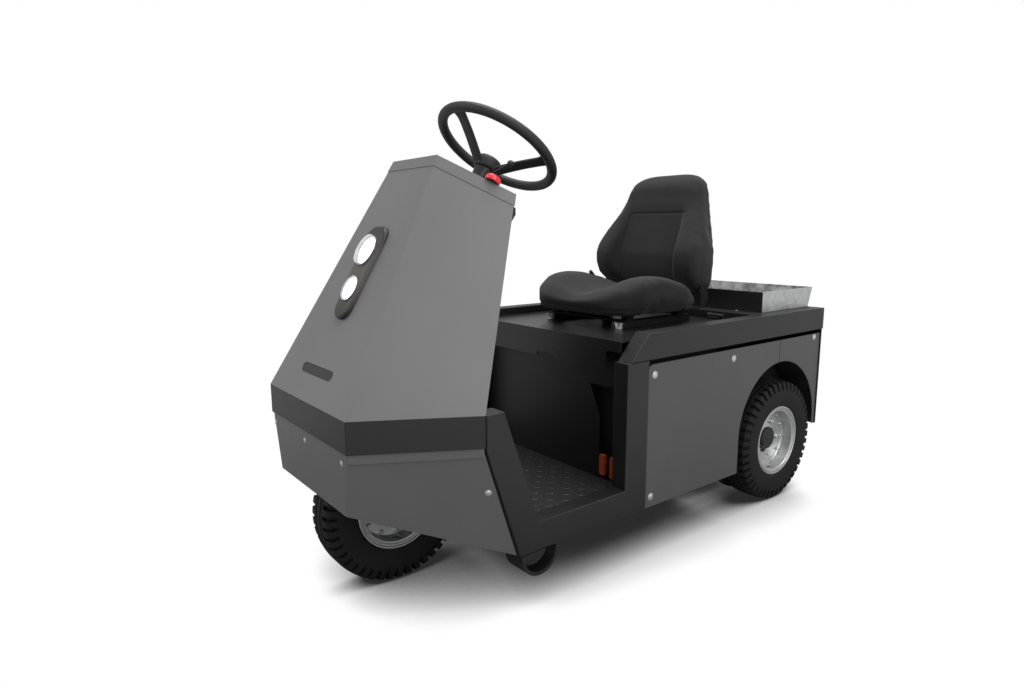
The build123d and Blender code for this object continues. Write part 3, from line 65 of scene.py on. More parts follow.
turn = Matrix.Rotation(math.radians(CAMERA_YAW), 4, "Z") @ Matrix.Rotation(math.radians(90 - CAMERA_PITCH), 4, "X")
turn = turn @ Matrix.Rotation(math.radians(CAMERA_ROLL), 4, "Z")
camera.matrix_world = Matrix.Translation(CAMERA_PLACE) @ turn
bpy.context.scene.collection.objects.link(camera)
bpy.context.scene.camera = camera
bpy.context.scene.view_settings.view_transform = "Standard"


class Wire:
    """One output of a shader node. Sums, products and powers of wires add Math nodes to their material."""

    def __init__(self, tree, origin=None, socket=None):
        self.tree, self.origin, self.socket = tree, origin, socket

    def node(self, kind, settings=None, inputs=None):
        """Adds a node: its settings first, then a value or a wire for each input named or numbered."""
        made = self.tree.nodes.new(kind)
        for name, value in (settings or {}).items():
            setattr(made, name, value)
        for name, value in (inputs or {}).items():
            if isinstance(value, Wire):
                self.tree.links.new(value.socket, made.inputs[name])
            else:
                made.inputs[name].default_value = value
        shown = [s for s in made.outputs if s.enabled]
        return Wire(self.tree, made, shown[0] if shown else None)

    def __getitem__(self, name):
        return Wire(self.tree, self.origin, self.origin.outputs[name])

    def sum_of(self, operation, *values):
        return self.node("ShaderNodeMath", {"operation": operation}, dict(enumerate(values)))

    def __add__(self, other):
        return self.sum_of("ADD", self, other)

    def __radd__(self, other):
        return self.sum_of("ADD", other, self)

    def __sub__(self, other):
        return self.sum_of("SUBTRACT", self, other)

    def __rsub__(self, other):
        return self.sum_of("SUBTRACT", other, self)

    def __mul__(self, other):
        return self.sum_of("MULTIPLY", self, other)

    def __pow__(self, other):
        return self.sum_of("POWER", self, other)

    def band(self, low, high):
        """0 below low, 1 above high, and a smooth step between."""
        names = {"Value": self, "From Min": low, "From Max": high}
        return self.node("ShaderNodeMapRange", {"interpolation_type": "SMOOTHSTEP"}, names)

    def tint(self, dark, light):
        """A colour from dark to light as this wire goes from 0 to 1."""
        mix = self.node("ShaderNodeMix", {"data_type": "RGBA"}, {"Factor": self})
        for name, colour in (("A_Color", dark), ("B_Color", light)):
            socket = next(s for s in mix.origin.inputs if s.identifier == name)
            if isinstance(colour, Wire):
                self.tree.links.new(colour.socket, socket)
            else:
                socket.default_value = (*colour, 1.0)
        result = next(s for s in mix.origin.outputs if s.identifier == "Result_Color")
        return Wire(self.tree, mix.origin, result)


def new_material(name):
    """An empty material, and a wire to add its nodes from."""
    material = bpy.data.materials.new(name)
    material.use_nodes = True
    material.node_tree.nodes.clear()
    return material, Wire(material.node_tree)


def surface(start, shader):
    """Puts a shader on the material's output."""
    start.node("ShaderNodeOutputMaterial", None, {"Surface": shader})


FLOOR_GREY = 0.42          # as the tractor sees it, so that its dark paint stays dark
SHADOW_REACH = 0.45        # how near a form darkens the white floor that the camera sees
SHADOW_FROM, SHADOW_TO = 0.24, 0.72        # open share of the sky there where the floor is darkest and white
SHADOW_SHADE, SHADOW_POWER = 0.07, 1.4     # the darkest white, and how fast the shadow lightens
SHADOW_SAMPLES = 64        # fewer leave grain in the shadow
NEAR_DIM = 0.55            # how much of the floor close by is taken out of what its paint mirrors
LEFT_GLOSS, RIGHT_GLOSS = 0.35, 0.40       # the brighter floor that its front and side faces mirror
FLOOR_REACH = 60.0
floor_mesh = bpy.data.meshes.new("floor")
corners = [(FLOOR_REACH * x, FLOOR_REACH * y, 0) for x, y in ((-1, -1), (1, -1), (1, 1), (-1, 1))]
floor_mesh.from_pydata(corners, [], [(0, 1, 2, 3)])
floor = bpy.data.objects.new("floor", floor_mesh)
bpy.context.scene.collection.objects.link(floor)
floor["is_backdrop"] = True
floor_paint, start = new_material("floor white")
rays = start.node("ShaderNodeLightPath")
across = start.node("ShaderNodeSeparateXYZ", None, {0: start.node("ShaderNodeNewGeometry")["Position"]})["X"]
dim = rays["Is Glossy Ray"] * (1.0 - across.band(0.45, 1.2)) * NEAR_DIM
grey = start.node("ShaderNodeBsdfDiffuse", None, {"Color": (1.0 - dim) * FLOOR_GREY})
mirrored = (across * -1.0).band(0.7, 1.9) * LEFT_GLOSS + across.band(1.0, 2.2) * RIGHT_GLOSS
glow = start.node("ShaderNodeEmission", None, {"Color": (1, 1, 1, 1), "Strength": rays["Is Glossy Ray"] * mirrored})
lit = start.node("ShaderNodeAddShader", None, {0: grey, 1: glow})
open_share = start.node("ShaderNodeAmbientOcclusion", {"samples": SHADOW_SAMPLES}, {"Distance": SHADOW_REACH})["AO"]
levels = {"From Min": SHADOW_FROM, "From Max": SHADOW_TO, "To Min": SHADOW_SHADE, "To Max": 1.0}
shade = start.node("ShaderNodeMapRange", None, {"Value": open_share, **levels}) ** SHADOW_POWER
white = start.node("ShaderNodeEmission", None, {"Color": (1, 1, 1, 1), "Strength": shade})
surface(start, start.node("ShaderNodeMixShader", None, {0: rays["Is Camera Ray"], 1: lit, 2: white}))
floor_mesh.materials.append(floor_paint)

SKY_FOR_LIGHT, SKY_FOR_GLOSS = 0.70, 0.55
world = bpy.data.worlds.new("surround")
bpy.context.scene.world = world
world.use_nodes = True
world.node_tree.nodes.clear()
start = Wire(world.node_tree)
rays = start.node("ShaderNodeLightPath")
plain = rays["Is Camera Ray"] + rays["Is Transmission Ray"]
strength = SKY_FOR_LIGHT + plain.sum_of("MINIMUM", plain, 1.0) * (1.0 - SKY_FOR_LIGHT)
strength = strength + rays["Is Glossy Ray"] * (SKY_FOR_GLOSS - SKY_FOR_LIGHT)
sky = start.node("ShaderNodeBackground", None, {"Color": (1, 1, 1, 1), "Strength": strength})
start.node("ShaderNodeOutputWorld", None, {"Surface": sky})

LAMPS = (                  # name, place, aim, size in metres, power in watts
    ("front lamp", (-1.6, -3.6, 2.6), (0, -0.4, 0.5), 2.6, 26),
    ("side lamp", (3.5, -0.7, 3.0), (0, 0, 0.5), 3.0, 56),
    ("top lamp", (0.0, 0.4, 4.2), (0, 0, 0), 3.6, 120),
)
for name, place, aim, size, power in LAMPS:
    lamp_data = bpy.data.lights.new(name, "AREA")
    lamp_data.shape = "DISK"
    lamp_data.size = size
    lamp_data.energy = power
    lamp = bpy.data.objects.new(name, lamp_data)
    lamp.location = place
    lamp.rotation_euler = (Vector(aim) - Vector(place)).to_track_quat("-Z", "Y").to_euler()
    bpy.context.scene.collection.objects.link(lamp)


# ==== welded frames ========================================================================================
# Side frames, load frame, nose band and hoops: box section and plate, welded, blasted and powder
# coated satin black. The corners of the tube are rounded, and the coat has a fine orange peel.
def finish(start, colour, rough, metallic=0.0, bump=None, height=0.0002, **sockets):
    """A Principled shader on the material's output, with a bump from a height wire where one is given."""
    inputs = {"Base Color": colour if isinstance(colour, Wire) else (*colour, 1.0)}
    inputs.update({"Roughness": rough, "Metallic": metallic})
    inputs.update({name.replace("_", " "): value for name, value in sockets.items()})
    if bump is not None:
        inputs["Normal"] = start.node("ShaderNodeBump", None, {"Height": bump, "Distance": height, "Strength": 1.0})
    surface(start, start.node("ShaderNodeBsdfPrincipled", None, inputs))


def place_of(start):
    """The point's place on the object, in metres."""
    return start.node("ShaderNodeTexCoord")["Object"]


def grain(start, scale, detail=2.0, rough=0.5, vector=None):
    """Noise from 0 to 1 with so many blobs to the metre."""
    vector = vector or place_of(start)
    inputs = {"Vector": vector, "Scale": scale, "Detail": detail, "Roughness": rough}
    return start.node("ShaderNodeTexNoise", None, inputs)


def powder_coat(name, colour, rough, peel=0.00012):
    """Powder coat: one colour with a faint drift in tone, gloss that drifts too, and an orange peel."""
    material, start = new_material(name)
    drift = grain(start, 3.0, 3.0)
    speck = grain(start, 1400.0, 1.0)
    tone = drift.band(0.3, 0.7) * 0.7 + speck * 0.3
    shade = tone.tint(tuple(c * 0.93 for c in colour), tuple(c * 1.07 for c in colour))
    gloss = rough + (grain(start, 14.0, 4.0) - 0.5) * 0.07
    finish(start, shade, gloss, bump=grain(start, 520.0, 2.0), height=peel)
    return material


def bevelled(node, material, width, body, angle=28.0, segments=2):
    """A CAD solid with its edges broken: its mesh merged, flat faces joined, and a bevel on sharp edges."""
    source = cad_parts[node]
    mesh = source.data.copy()
    shape = bmesh.new()
    shape.from_mesh(mesh)
    bmesh.ops.remove_doubles(shape, verts=shape.verts, dist=1e-6)
    bmesh.ops.dissolve_limit(shape, angle_limit=math.radians(0.3), verts=shape.verts, edges=shape.edges)
    shape.to_mesh(mesh)
    shape.free()
    mesh.materials.clear()
    mesh.materials.append(material)
    piece = bpy.data.objects.new(node + "_finished", mesh)
    bpy.context.scene.collection.objects.link(piece)
    bevel = piece.modifiers.new("edges", "BEVEL")
    bevel.width, bevel.segments = width, segments
    bevel.limit_method, bevel.angle_limit = "ANGLE", math.radians(angle)
    bevel.use_clamp_overlap = True
    bevel.harden_normals = True
    mesh.shade_smooth()
    mesh.set_sharp_from_angle(angle=math.radians(angle))
    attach(piece, body)
    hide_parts(node)
    return piece


FRAME_EDGE = 0.0012
frame_black = powder_coat("frame black powder coat", (0.010, 0.010, 0.0104), 0.42)
for node in ("side_frame_left", "side_frame_right", "load_frame", "nose_band", "skid_hoops"):
    bevelled(node, frame_black, FRAME_EDGE, "chassis")

# ==== grey panels ==========================================================================================
# Cowl, cap and skirt are folded 3.5 mm steel sheet in a lighter grey powder coat, and the side panels
# and rear quarters in a darker one. Zinc plated round head screws hold them to the frame.
SHEET_EDGE = 0.0012
cowl_grey = powder_coat("cowl grey powder coat", (0.143, 0.144, 0.146), 0.40, 0.00008)
panel_grey = powder_coat("panel grey powder coat", (0.071, 0.071, 0.072), 0.42, 0.00008)
# The skirt's and the cap's greys are copies of the cowl's one paint, made darker: painted shade.
skirt_grey_painted_shade = powder_coat("cowl grey darkened as painted shade on the skirt", (0.096, 0.096, 0.097), 0.42, 0.00008)
cap_grey_painted_shade = powder_coat("cowl grey darkened as painted shade on the cap", (0.136, 0.137, 0.139), 0.40, 0.00008)
SHEETS = (("cowl", cowl_grey), ("cowl_cap", cap_grey_painted_shade), ("front_skirt", skirt_grey_painted_shade), ("side_panels", panel_grey))
for node, paint in (*SHEETS, ("rear_quarters", panel_grey)):
    bevelled(node, paint, SHEET_EDGE, "chassis")

STATION_ZERO = 918.0       # station of the origin, in millimetres behind the nose


def spot(x, station, height):
    """A point in metres from millimetres across, behind the nose and above the ground."""
    return np.array((x, station - STATION_ZERO, height)) / 1000.0


def turned(profile, origin, direction, segments=24, ring=False):
    """A turned form: a profile of (distance along, radius) swept round an axis. A ring has no axis to close on."""
    along = np.array(direction, float)
    along /= np.linalg.norm(along)
    side = np.cross(along, (0.0, 0.0, 1.0) if abs(along[2]) < 0.9 else (1.0, 0.0, 0.0))
    side /= np.linalg.norm(side)
    other = np.cross(along, side)
    angle = np.arange(segments) * 2 * np.pi / segments
    around = np.cos(angle)[:, None] * side + np.sin(angle)[:, None] * other
    reach, radius = np.array(profile, float).T
    points = np.array(origin) + reach[:, None, None] * along + radius[:, None, None] * around
    return points, ring, True


def joined(name, patches, material, smooth=35.0):
    """One object from patches, each a grid of points with whether its rows and its columns close on themselves."""
    corners, faces, first = [], [], 0
    for points, rows_close, columns_close in patches:
        rows, columns = points.shape[:2]
        row, column = np.meshgrid(
            np.arange(rows if rows_close else rows - 1), np.arange(columns if columns_close else columns - 1),
            indexing="ij",
        )
        below, beside = (row + 1) % rows, (column + 1) % columns
        quads = np.stack(
            [row * columns + column, below * columns + column, below * columns + beside, row * columns + beside], -1
        )
        faces += (quads.reshape(-1, 4) + first).tolist()
        corners.append(points.reshape(-1, 3))
        first += rows * columns
    mesh = bpy.data.meshes.new(name)
    mesh.from_pydata(np.concatenate(corners).tolist(), [], faces)
    shape = bmesh.new()
    shape.from_mesh(mesh)
    bmesh.ops.remove_doubles(shape, verts=shape.verts, dist=2e-6)
    bmesh.ops.holes_fill(shape, edges=[e for e in shape.edges if e.is_boundary])
    bmesh.ops.recalc_face_normals(shape, faces=shape.faces)
    shape.to_mesh(mesh)
    shape.free()
    mesh.materials.append(material)
    mesh.shade_smooth()
    mesh.set_sharp_from_angle(angle=math.radians(smooth))
    piece = bpy.data.objects.new(name, mesh)
    bpy.context.scene.collection.objects.link(piece)
    return piece


def build(name, patches, material, body, smooth=35.0, replaced=()):
    """A piece from patches that rides on a body, and stands in for the CAD nodes that it replaces."""
    piece = joined(name, patches, material, smooth)
    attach(piece, body)
    if replaced:
        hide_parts(*replaced)
    return piece


# (distance along, radius) of a low round head, and of the washer under it, as shares of the head's radius
DOME = np.array([(-0.1, 0.0), (-0.1, 1.0), (0.08, 1.0), (0.17, 0.93), (0.24, 0.74), (0.29, 0.45), (0.30, 0.0)])
WASHER = np.array([(-0.1, 0.0), (-0.1, 1.3), (0.12, 1.3), (0.16, 1.24), (0.16, 0.0)])
WASHER_TOP = 0.16


def screws(places, direction, radius):
    """A round head on a washer at each place."""
    heads = [turned(DOME * radius + (WASHER_TOP * radius, 0.0), place, direction, 20) for place in places]
    return heads + [turned(WASHER * radius, place, direction, 24) for place in places]


zinc, start = new_material("zinc plate")
haze = grain(start, 60.0, 4.0)
finish(start, haze.tint((0.54, 0.55, 0.56), (0.72, 0.72, 0.71)), 0.30 + haze * 0.16, 0.9)
PANEL_FACE = 377.0         # half the width over the side panels, in millimetres
PANEL_SCREWS = ((836, 527), (1203, 527), (1678, 545), (833, 178))          # station, height
PANEL_HEAD, SKIRT_HEAD, CORNER_HEAD = 0.0085, 0.0055, 0.0062               # radii of the screws' heads
for name, side in (("left", 1), ("right", -1)):
    places = [spot(side * PANEL_FACE, station, height) for station, height in PANEL_SCREWS]
    build("panel_screws_" + name, screws(places, (side, 0, 0), PANEL_HEAD), zinc, "chassis")
SKIRT_LEAN = math.atan2(4.0, 149.5)        # the skirt's front falls back by so much over its height
SKIRT_SCREW_LEVEL, SKIRT_SCREW_X = (4.7, 411.0), (-217.0, -15.0, 197.0)    # station and height, then across
places = [spot(x, *SKIRT_SCREW_LEVEL) for x in SKIRT_SCREW_X]
heads = screws(places, (0.0, -math.cos(SKIRT_LEAN), -math.sin(SKIRT_LEAN)), SKIRT_HEAD)
CORNER_SCREW, CORNER_OUT = (363.2, 282.0, 325.3), (0.858, -0.486, -0.168)  # place, and the panel's normal there
for side in (-1, 1):
    place, out = spot(side * CORNER_SCREW[0], *CORNER_SCREW[1:]), (side * CORNER_OUT[0], *CORNER_OUT[1:])
    heads += screws([place], out, CORNER_HEAD)
build("skirt_screws", heads, zinc, "chassis")

# ==== lamp pod and slot ====================================================================================
# Two round lamps one above the other in a surround of black moulded plastic that narrows downwards, both
# lit. Each has a bright reflector bowl behind a domed clear lens. The slot below has a black insert.
black_plastic, start = new_material("black moulded plastic")
stipple = grain(start, 900.0, 2.0)
finish(start, (0.012, 0.012, 0.0125), 0.38 + grain(start, 20.0) * 0.1, bump=stipple, height=0.00005)
bevelled("nose_slot", black_plastic, 0.0008, "chassis")
FACE_FOOT, FACE_RISE, FACE_BACK = 514.0, 557.0, 309.0      # height of the cowl's sloping face, its rise and run
FACE_LEAN = math.atan2(FACE_BACK, FACE_RISE)
OUT_OF_FACE = np.array((0.0, -math.cos(FACE_LEAN), math.sin(FACE_LEAN)))
UP_THE_FACE = np.array((0.0, math.sin(FACE_LEAN), math.cos(FACE_LEAN)))
POD_TOP, POD_FOOT, POD_DEPTH, POD_ROUND = 924.0, 702.0, 12.0, 8.5
POD_CORNERS = ((-54.0, 1, 42.0), (52.0, 1, 36.0), (36.0, -1, 35.0), (-38.0, -1, 35.0))    # x, end, radius


def on_face(height):
    """The point of the cowl's sloping face in the middle plane, at a height in millimetres."""
    return spot(0.0, FACE_BACK * (height - FACE_FOOT) / FACE_RISE, height)


def pod_outline(inset):
    """The pod's outline across and up the face, in millimetres, drawn in evenly by an inset."""
    half = (POD_TOP - POD_FOOT) / math.cos(FACE_LEAN) / 2
    tips = np.array([(x, end * half) for x, end, _ in POD_CORNERS])
    sides = np.roll(tips, -1, axis=0) - tips
    normals = np.stack([-sides[:, 1], sides[:, 0]], -1) / np.linalg.norm(sides, axis=1, keepdims=True)
    points = []
    for k, (_, _, radius) in enumerate(POD_CORNERS):
        before, after = normals[k - 1], normals[k]
        centre = tips[k] - radius * (before + after) / (1 + before @ after)
        first, last = math.atan2(before[1], before[0]), math.atan2(after[1], after[0])
        turn = np.linspace(first, first - ((first - last) % (2 * np.pi)), 12)
        points.append(centre + (radius - inset) * np.stack([np.cos(turn), np.sin(turn)], -1))
    return np.concatenate(points)


corner = np.linspace(0.0, np.pi / 2, 7)
pod_rows = [(0.0, 0.0)]                    # height above the face, inset
pod_rows += [(POD_DEPTH - POD_ROUND * (1 - math.sin(a)), POD_ROUND * (1 - math.cos(a))) for a in corner]
pod_points = []
for rise, inset in pod_rows:
    flat = pod_outline(inset) / 1000
    middle = on_face((POD_TOP + POD_FOOT) / 2) + rise / 1000 * OUT_OF_FACE
    pod_points.append(middle + flat[:, 0:1] * np.array((1.0, 0.0, 0.0)) + flat[:, 1:2] * UP_THE_FACE)
pod_patches = [(np.array(pod_points), False, True)]
LAMP_ROWS = (              # x, height, radius of bezel and of lens, stand of bezel, wall of lens, in millimetres
    (-3.0, 862.5, 44.0, 40.5, 17.0, 7.0),
    (-1.5, 771.5, 36.5, 33.0, 15.0, 3.0),
)
LENS_DOME, BOWL_FOOT, BOWL_RISE, BOWL_SHARE = 8.0, 11.0, 12.6, 0.90
glasses, bowls = [], []
for x, height, bezel, radius, stand, wall in LAMP_ROWS:
    centre = on_face(height) + (x / 1000, 0.0, 0.0)
    ring = [(2, radius + 0.8), (2, bezel), (stand - 2, bezel), (stand - 0.6, bezel - 0.6), (stand, bezel - 2)]
    ring += [(stand, radius + 1.6), (stand - 0.6, radius + 0.8)]
    pod_patches.append(turned(np.array(ring) / 1000, centre, OUT_OF_FACE, 48, ring=True))
    ball = (radius**2 + LENS_DOME**2) / (2 * LENS_DOME)
    wall_top = stand + wall - 2.0
    dome = [(wall_top + math.sqrt(ball**2 - r**2) - ball + LENS_DOME, r) for r in radius * np.linspace(1.0, 0.0, 14)]
    glass = [(BOWL_RISE + 0.2, 0.0), (BOWL_RISE + 0.2, radius)] + dome
    glasses.append(turned(np.array(glass) / 1000, centre, OUT_OF_FACE, 48))
    bowl = [(BOWL_FOOT, 0), (BOWL_FOOT, BOWL_SHARE * radius), (BOWL_RISE, BOWL_SHARE * radius), (BOWL_RISE, 0)]
    bowls.append(turned(np.array(bowl) / 1000, centre, OUT_OF_FACE, 48))
LAMPS_MIDDLE = 0.818       # height between the lamps, where their light on the surround is strongest
# Painted light: the plastic surround glows faintly near the lamps, an emission that stands in for their light falling
# on it.
pod_plastic_painted_glow, start = new_material("lamp surround with painted glow")
high = start.node("ShaderNodeSeparateXYZ", None, {0: place_of(start)})["Z"]
above = high - LAMPS_MIDDLE
near = 1.0 - above.sum_of("ABSOLUTE", above).band(0.03, 0.11)
finish(
    start, (0.016, 0.0155, 0.015), 0.42, Emission_Color=near.tint((0.0, 0.0, 0.0), (0.050, 0.047, 0.039)),
    Emission_Strength=1.0,
)
build("headlamp_pod_finished", pod_patches, pod_plastic_painted_glow, "chassis", 30.0, ("headlamp_pod",))
lamp_glow, start = new_material("lit lamp bowl")
finish(start, (0.9, 0.92, 0.95), 0.3, Emission_Color=(1.0, 0.99, 0.97, 1.0), Emission_Strength=1.3)
clear_lens, start = new_material("clear lamp lens")
finish(
    start, (0.85, 0.87, 0.9), 0.05, Coat_Weight=1.0, Alpha=0.30, Emission_Color=(1.0, 0.98, 0.95, 1.0),
    Emission_Strength=0.3,
)
build("headlamp_bowls", bowls, lamp_glow, "chassis")
build("headlamp_glasses", glasses, clear_lens, "chassis", 35.0, ("headlamp_lenses",))

# ==== dash, column and steering wheel ======================================================================
# Dash, wheel box and bulkhead are black painted sheet. The wheel is a steel ring and three flat spokes
# under soft black foam, flared on one side where they meet the rim, with a plain round cap on the hub.
deck_black = powder_coat("black deck paint", (0.014, 0.014, 0.0145), 0.44)
# The bulkhead's black is the deck's paint made darker: painted shade in the footwell.
bulkhead_black_painted_shade = powder_coat("bulkhead black, darkened as painted shade", (0.006, 0.006, 0.0062), 0.42)
# The darkest matt black stands in for shade on the parts under and behind the seat: painted shade.
painted_shade_black, start = new_material("matt black darkened as painted shade")
finish(start, (0.006, 0.006, 0.0062), 0.75, Specular_IOR_Level=0.25, bump=grain(start, 500.0), height=0.0001)
for node, paint, edge in (
    ("dash_panel", deck_black, 0.0015), ("wheel_box", deck_black, 0.0012), ("bulkhead", bulkhead_black_painted_shade, 0.0012)
):
    bevelled(node, paint, edge, "chassis")
bevelled("steering_column", black_plastic, 0.0015, "chassis")

grip, start = new_material("soft black grip")
finish(start, (0.016, 0.016, 0.0165), 0.55, bump=grain(start, 1100.0, 3.0), height=0.00012)
WHEEL_TILT = math.radians(34.6)
WHEEL_CENTRE = spot(0.0, 587.0, 1139.0)
WHEEL_AXIS = np.array((0.0, math.sin(WHEEL_TILT), math.cos(WHEEL_TILT)))
WHEEL_X, WHEEL_Y = np.array((1.0, 0.0, 0.0)), np.array((0.0, math.cos(WHEEL_TILT), -math.sin(WHEEL_TILT)))
RIM_RADIUS, TUBE_RADIUS, DISH = 0.169, 0.014, 0.0575
FINGER_GRIPS, GRIP_DEPTH = 54, 0.05        # count, and depth as a share of the tube's radius


def on_wheel(x, y, z):
    """Points in the wheel's own frame, its plane and its axis, put where the wheel is."""
    return WHEEL_CENTRE + x[..., None] * WHEEL_X + y[..., None] * WHEEL_Y + z[..., None] * WHEEL_AXIS


turn, tube = np.meshgrid(np.linspace(0, 2 * np.pi, 120, False), np.linspace(0, 2 * np.pi, 20, False), indexing="ij")
ripple = 1.0 - GRIP_DEPTH * np.clip(np.cos(FINGER_GRIPS * turn), 0.0, 1.0) * np.clip(-np.sin(tube), 0.0, 1.0)
out = RIM_RADIUS + TUBE_RADIUS * ripple * np.cos(tube)
wheel_patches = [(on_wheel(out * np.cos(turn), out * np.sin(turn), 0.96 * TUBE_RADIUS * np.sin(tube)), True, True)]
SPOKES = np.radians((-90.0, 30.0, 150.0))
ROOT, ROOT_DEPTH, TIP, TIP_RISE, SPOKE_HALF, SPOKE_BOW = 0.030, 0.0670, 0.166, 0.012, 0.0045, 0.0040
SPOKE_EDGES = np.array([   # share of the length, half width on the plain side, and on the side that flares
    (0.0, 0.0185, 0.0185), (0.74, 0.0180, 0.0180), (0.80, 0.0180, 0.0195), (0.90, 0.0190, 0.0290),
    (1.0, 0.0205, 0.0400),
])
rise = math.atan2(ROOT_DEPTH + TIP_RISE, TIP - ROOT)
for angle in SPOKES:
    reach, around = np.meshgrid(np.linspace(0.0, 1.0, 26), np.linspace(0, 2 * np.pi, 24, False), indexing="ij")
    plain, flared = (np.interp(reach, SPOKE_EDGES[:, 0], SPOKE_EDGES[:, i]) for i in (1, 2))
    across = np.where(np.cos(around) > 0, plain, flared) * np.sign(np.cos(around)) * np.abs(np.cos(around)) ** 0.55
    thick = SPOKE_HALF * np.sign(np.sin(around)) * np.abs(np.sin(around)) ** 0.55
    radius = ROOT + reach * (TIP - ROOT) - thick * math.sin(rise)
    x = radius * np.cos(angle) - across * np.sin(angle)
    y = radius * np.sin(angle) + across * np.cos(angle)
    depth = -ROOT_DEPTH + reach * (ROOT_DEPTH + TIP_RISE) + SPOKE_BOW * np.sin(np.pi * reach) + thick * math.cos(rise)
    wheel_patches.append((on_wheel(x, y, depth), False, True))
hub = [(-17.5, 0), (-17.5, 32), (-16.0, 35), (-13.0, 37), (9.0, 37), (13.0, 36), (16.0, 33.5), (17.3, 30)]
hub += [(17.5, 27), (17.0, 25.2), (15.8, 24.6), (16.4, 12), (16.6, 0)]
wheel_patches.append(turned(np.array(hub) / 1000, WHEEL_CENTRE - DISH * WHEEL_AXIS, WHEEL_AXIS, 48))
build("steering_wheel_finished", wheel_patches, grip, "steering_wheel", replaced=("steering_wheel",))

# ==== hand and foot controls ===============================================================================
# A red mushroom stop button on the cap, a direction lever on the column, and two ribbed pedals.
red_gloss, start = new_material("red gloss plastic")
finish(start, (0.86, 0.016, 0.034), 0.25, Coat_Weight=0.5)
CAP_FRONT_HEIGHT, CAP_REAR_HEIGHT, CAP_REAR = FACE_FOOT + FACE_RISE, 975.0, 452.0
SLOPE = math.atan2(CAP_FRONT_HEIGHT - CAP_REAR_HEIGHT, CAP_REAR - FACE_BACK)
OUT_OF_CAP = np.array((0.0, math.sin(SLOPE), math.cos(SLOPE)))
STOP_X, STOP_STATION, STOP_STAND = 196.0, 422.0, 36.0
stop_height = CAP_FRONT_HEIGHT + STOP_STAND - math.tan(SLOPE) * (STOP_STATION - FACE_BACK)
stop_place = spot(STOP_X, STOP_STATION, stop_height)
collar = np.array([(0, 0), (0, 15), (3, 15), (4, 14), (4, 11), (7, 11), (7, 0)]) / 1000
button = np.array([(1, 0), (1, 18.5), (1.6, 19.6), (3, 20), (11, 20), (14, 18.8), (16, 15), (17, 9), (17.2, 0)]) / 1000
build("stop_collar", [turned(collar, stop_place, OUT_OF_CAP, 32)], black_plastic, "chassis")
build(
    "stop_button", [turned(button, stop_place, OUT_OF_CAP, 40)], red_gloss, "chassis",
    replaced=("emergency_stop",),
)
bevelled("direction_lever", black_plastic, 0.0015, "chassis")
bevelled("pedals", black_plastic, 0.002, "chassis")

# ==== floor plate ==========================================================================================
# Chequer plate painted black: five millimetre steel with rolled lozenges, each row crossing the last.
plate_black = powder_coat("black floor paint", (0.024, 0.024, 0.0245), 0.42)
bevelled("floor_plate", plate_black, 0.001, "chassis")
LOZENGE_PITCH, LOZENGE_LENGTH, LOZENGE_WIDTH, LOZENGE_RISE = 0.030, 0.024, 0.0078, 0.0007
PLATE_TOP, TREAD_FRONT, TREAD_COLUMNS, TREAD_ROWS = 0.200, 0.385, 22, 14
BOX_REAR, BOX_HALF, BOX_TAPER = 0.478, 0.10, 0.417         # the wheel box, which stands on the plate
tread_patches = []
ring = np.linspace(0, 2 * np.pi, 12, False)
for i in range(TREAD_COLUMNS):
    for j in range(TREAD_ROWS):
        x = (i - (TREAD_COLUMNS - 1) / 2) * LOZENGE_PITCH
        station = TREAD_FRONT + j * LOZENGE_PITCH
        if station < BOX_REAR - BOX_TAPER * max(0.0, abs(x) - BOX_HALF):
            continue
        heading = math.radians(45 if (i + j) % 2 else -45)
        size = np.array((1.0, 0.82, 0.45, 0.0))[:, None]
        long = 0.5 * LOZENGE_LENGTH * size * np.sign(np.cos(ring)) * np.abs(np.cos(ring)) ** 1.4
        wide = 0.5 * LOZENGE_WIDTH * size * np.sin(ring)
        rise = LOZENGE_RISE * np.array((-0.1, 0.75, 1.0, 1.0))[:, None] + 0 * ring
        px = x + long * math.cos(heading) - wide * math.sin(heading)
        py = station - STATION_ZERO / 1000 + long * math.sin(heading) + wide * math.cos(heading)
        tread_patches.append((np.stack([px, py, PLATE_TOP + rise], -1), False, True))
build("floor_tread", tread_patches, plate_black, "chassis")

# ==== battery space ========================================================================================
# Tray and battery box behind the footwell, with the two orange pads that stand in the hatch.
orange_rubber, start = new_material("orange polyurethane")
scuff = grain(start, 90.0, 4.0)
finish(start, scuff.band(0.35, 0.7).tint((0.50, 0.07, 0.015), (0.34, 0.05, 0.015)), 0.5)
battery_case, start = new_material("battery case")
finish(start, (0.040, 0.040, 0.043), 0.6, bump=grain(start, 700.0), height=0.0001)
bevelled("battery_tray", frame_black, 0.001, "chassis")
bevelled("battery_block", battery_case, 0.004, "chassis")
bevelled("guide_pads", orange_rubber, 0.0015, "chassis")

# ==== deck lid, rear deck and seat rails ===================================================================
# The lid is black painted plate with a folded lip, a small cam lock and a finger slot. It swings on two
# butt hinges. The seat's zinc plated rails are screwed to it.
lid_black = powder_coat("black lid paint", (0.012, 0.012, 0.0124), 0.30)
bevelled("deck_lid", lid_black, 0.0012, "deck_lid")
bevelled("rear_deck", deck_black, 0.0012, "chassis")
bright_zinc, start = new_material("bright zinc plate")
finish(start, (0.90, 0.90, 0.89), 0.30, 0.35)
bevelled("seat_rails", bright_zinc, 0.0015, "deck_lid")
LOCK_PLACE, DECK_SCREW, DECK_HEAD = (54, 754.5, 564), (231, 1427, 643.6), 0.0045
barrel = np.array([(-3.0, 0), (-3.0, 4.6), (0.5, 4.6), (1.0, 4.2), (1.0, 1.2), (0.2, 1.0), (0.2, 0)]) / 1000
build("lid_lock", [turned(barrel, spot(*LOCK_PLACE), (0, -1, 0), 24)], black_plastic, "deck_lid")
places = [spot(side * DECK_SCREW[0], *DECK_SCREW[1:]) for side in (-1, 1)]
build("rear_deck_screws", screws(places, (0, 0, 1), DECK_HEAD), zinc, "chassis")

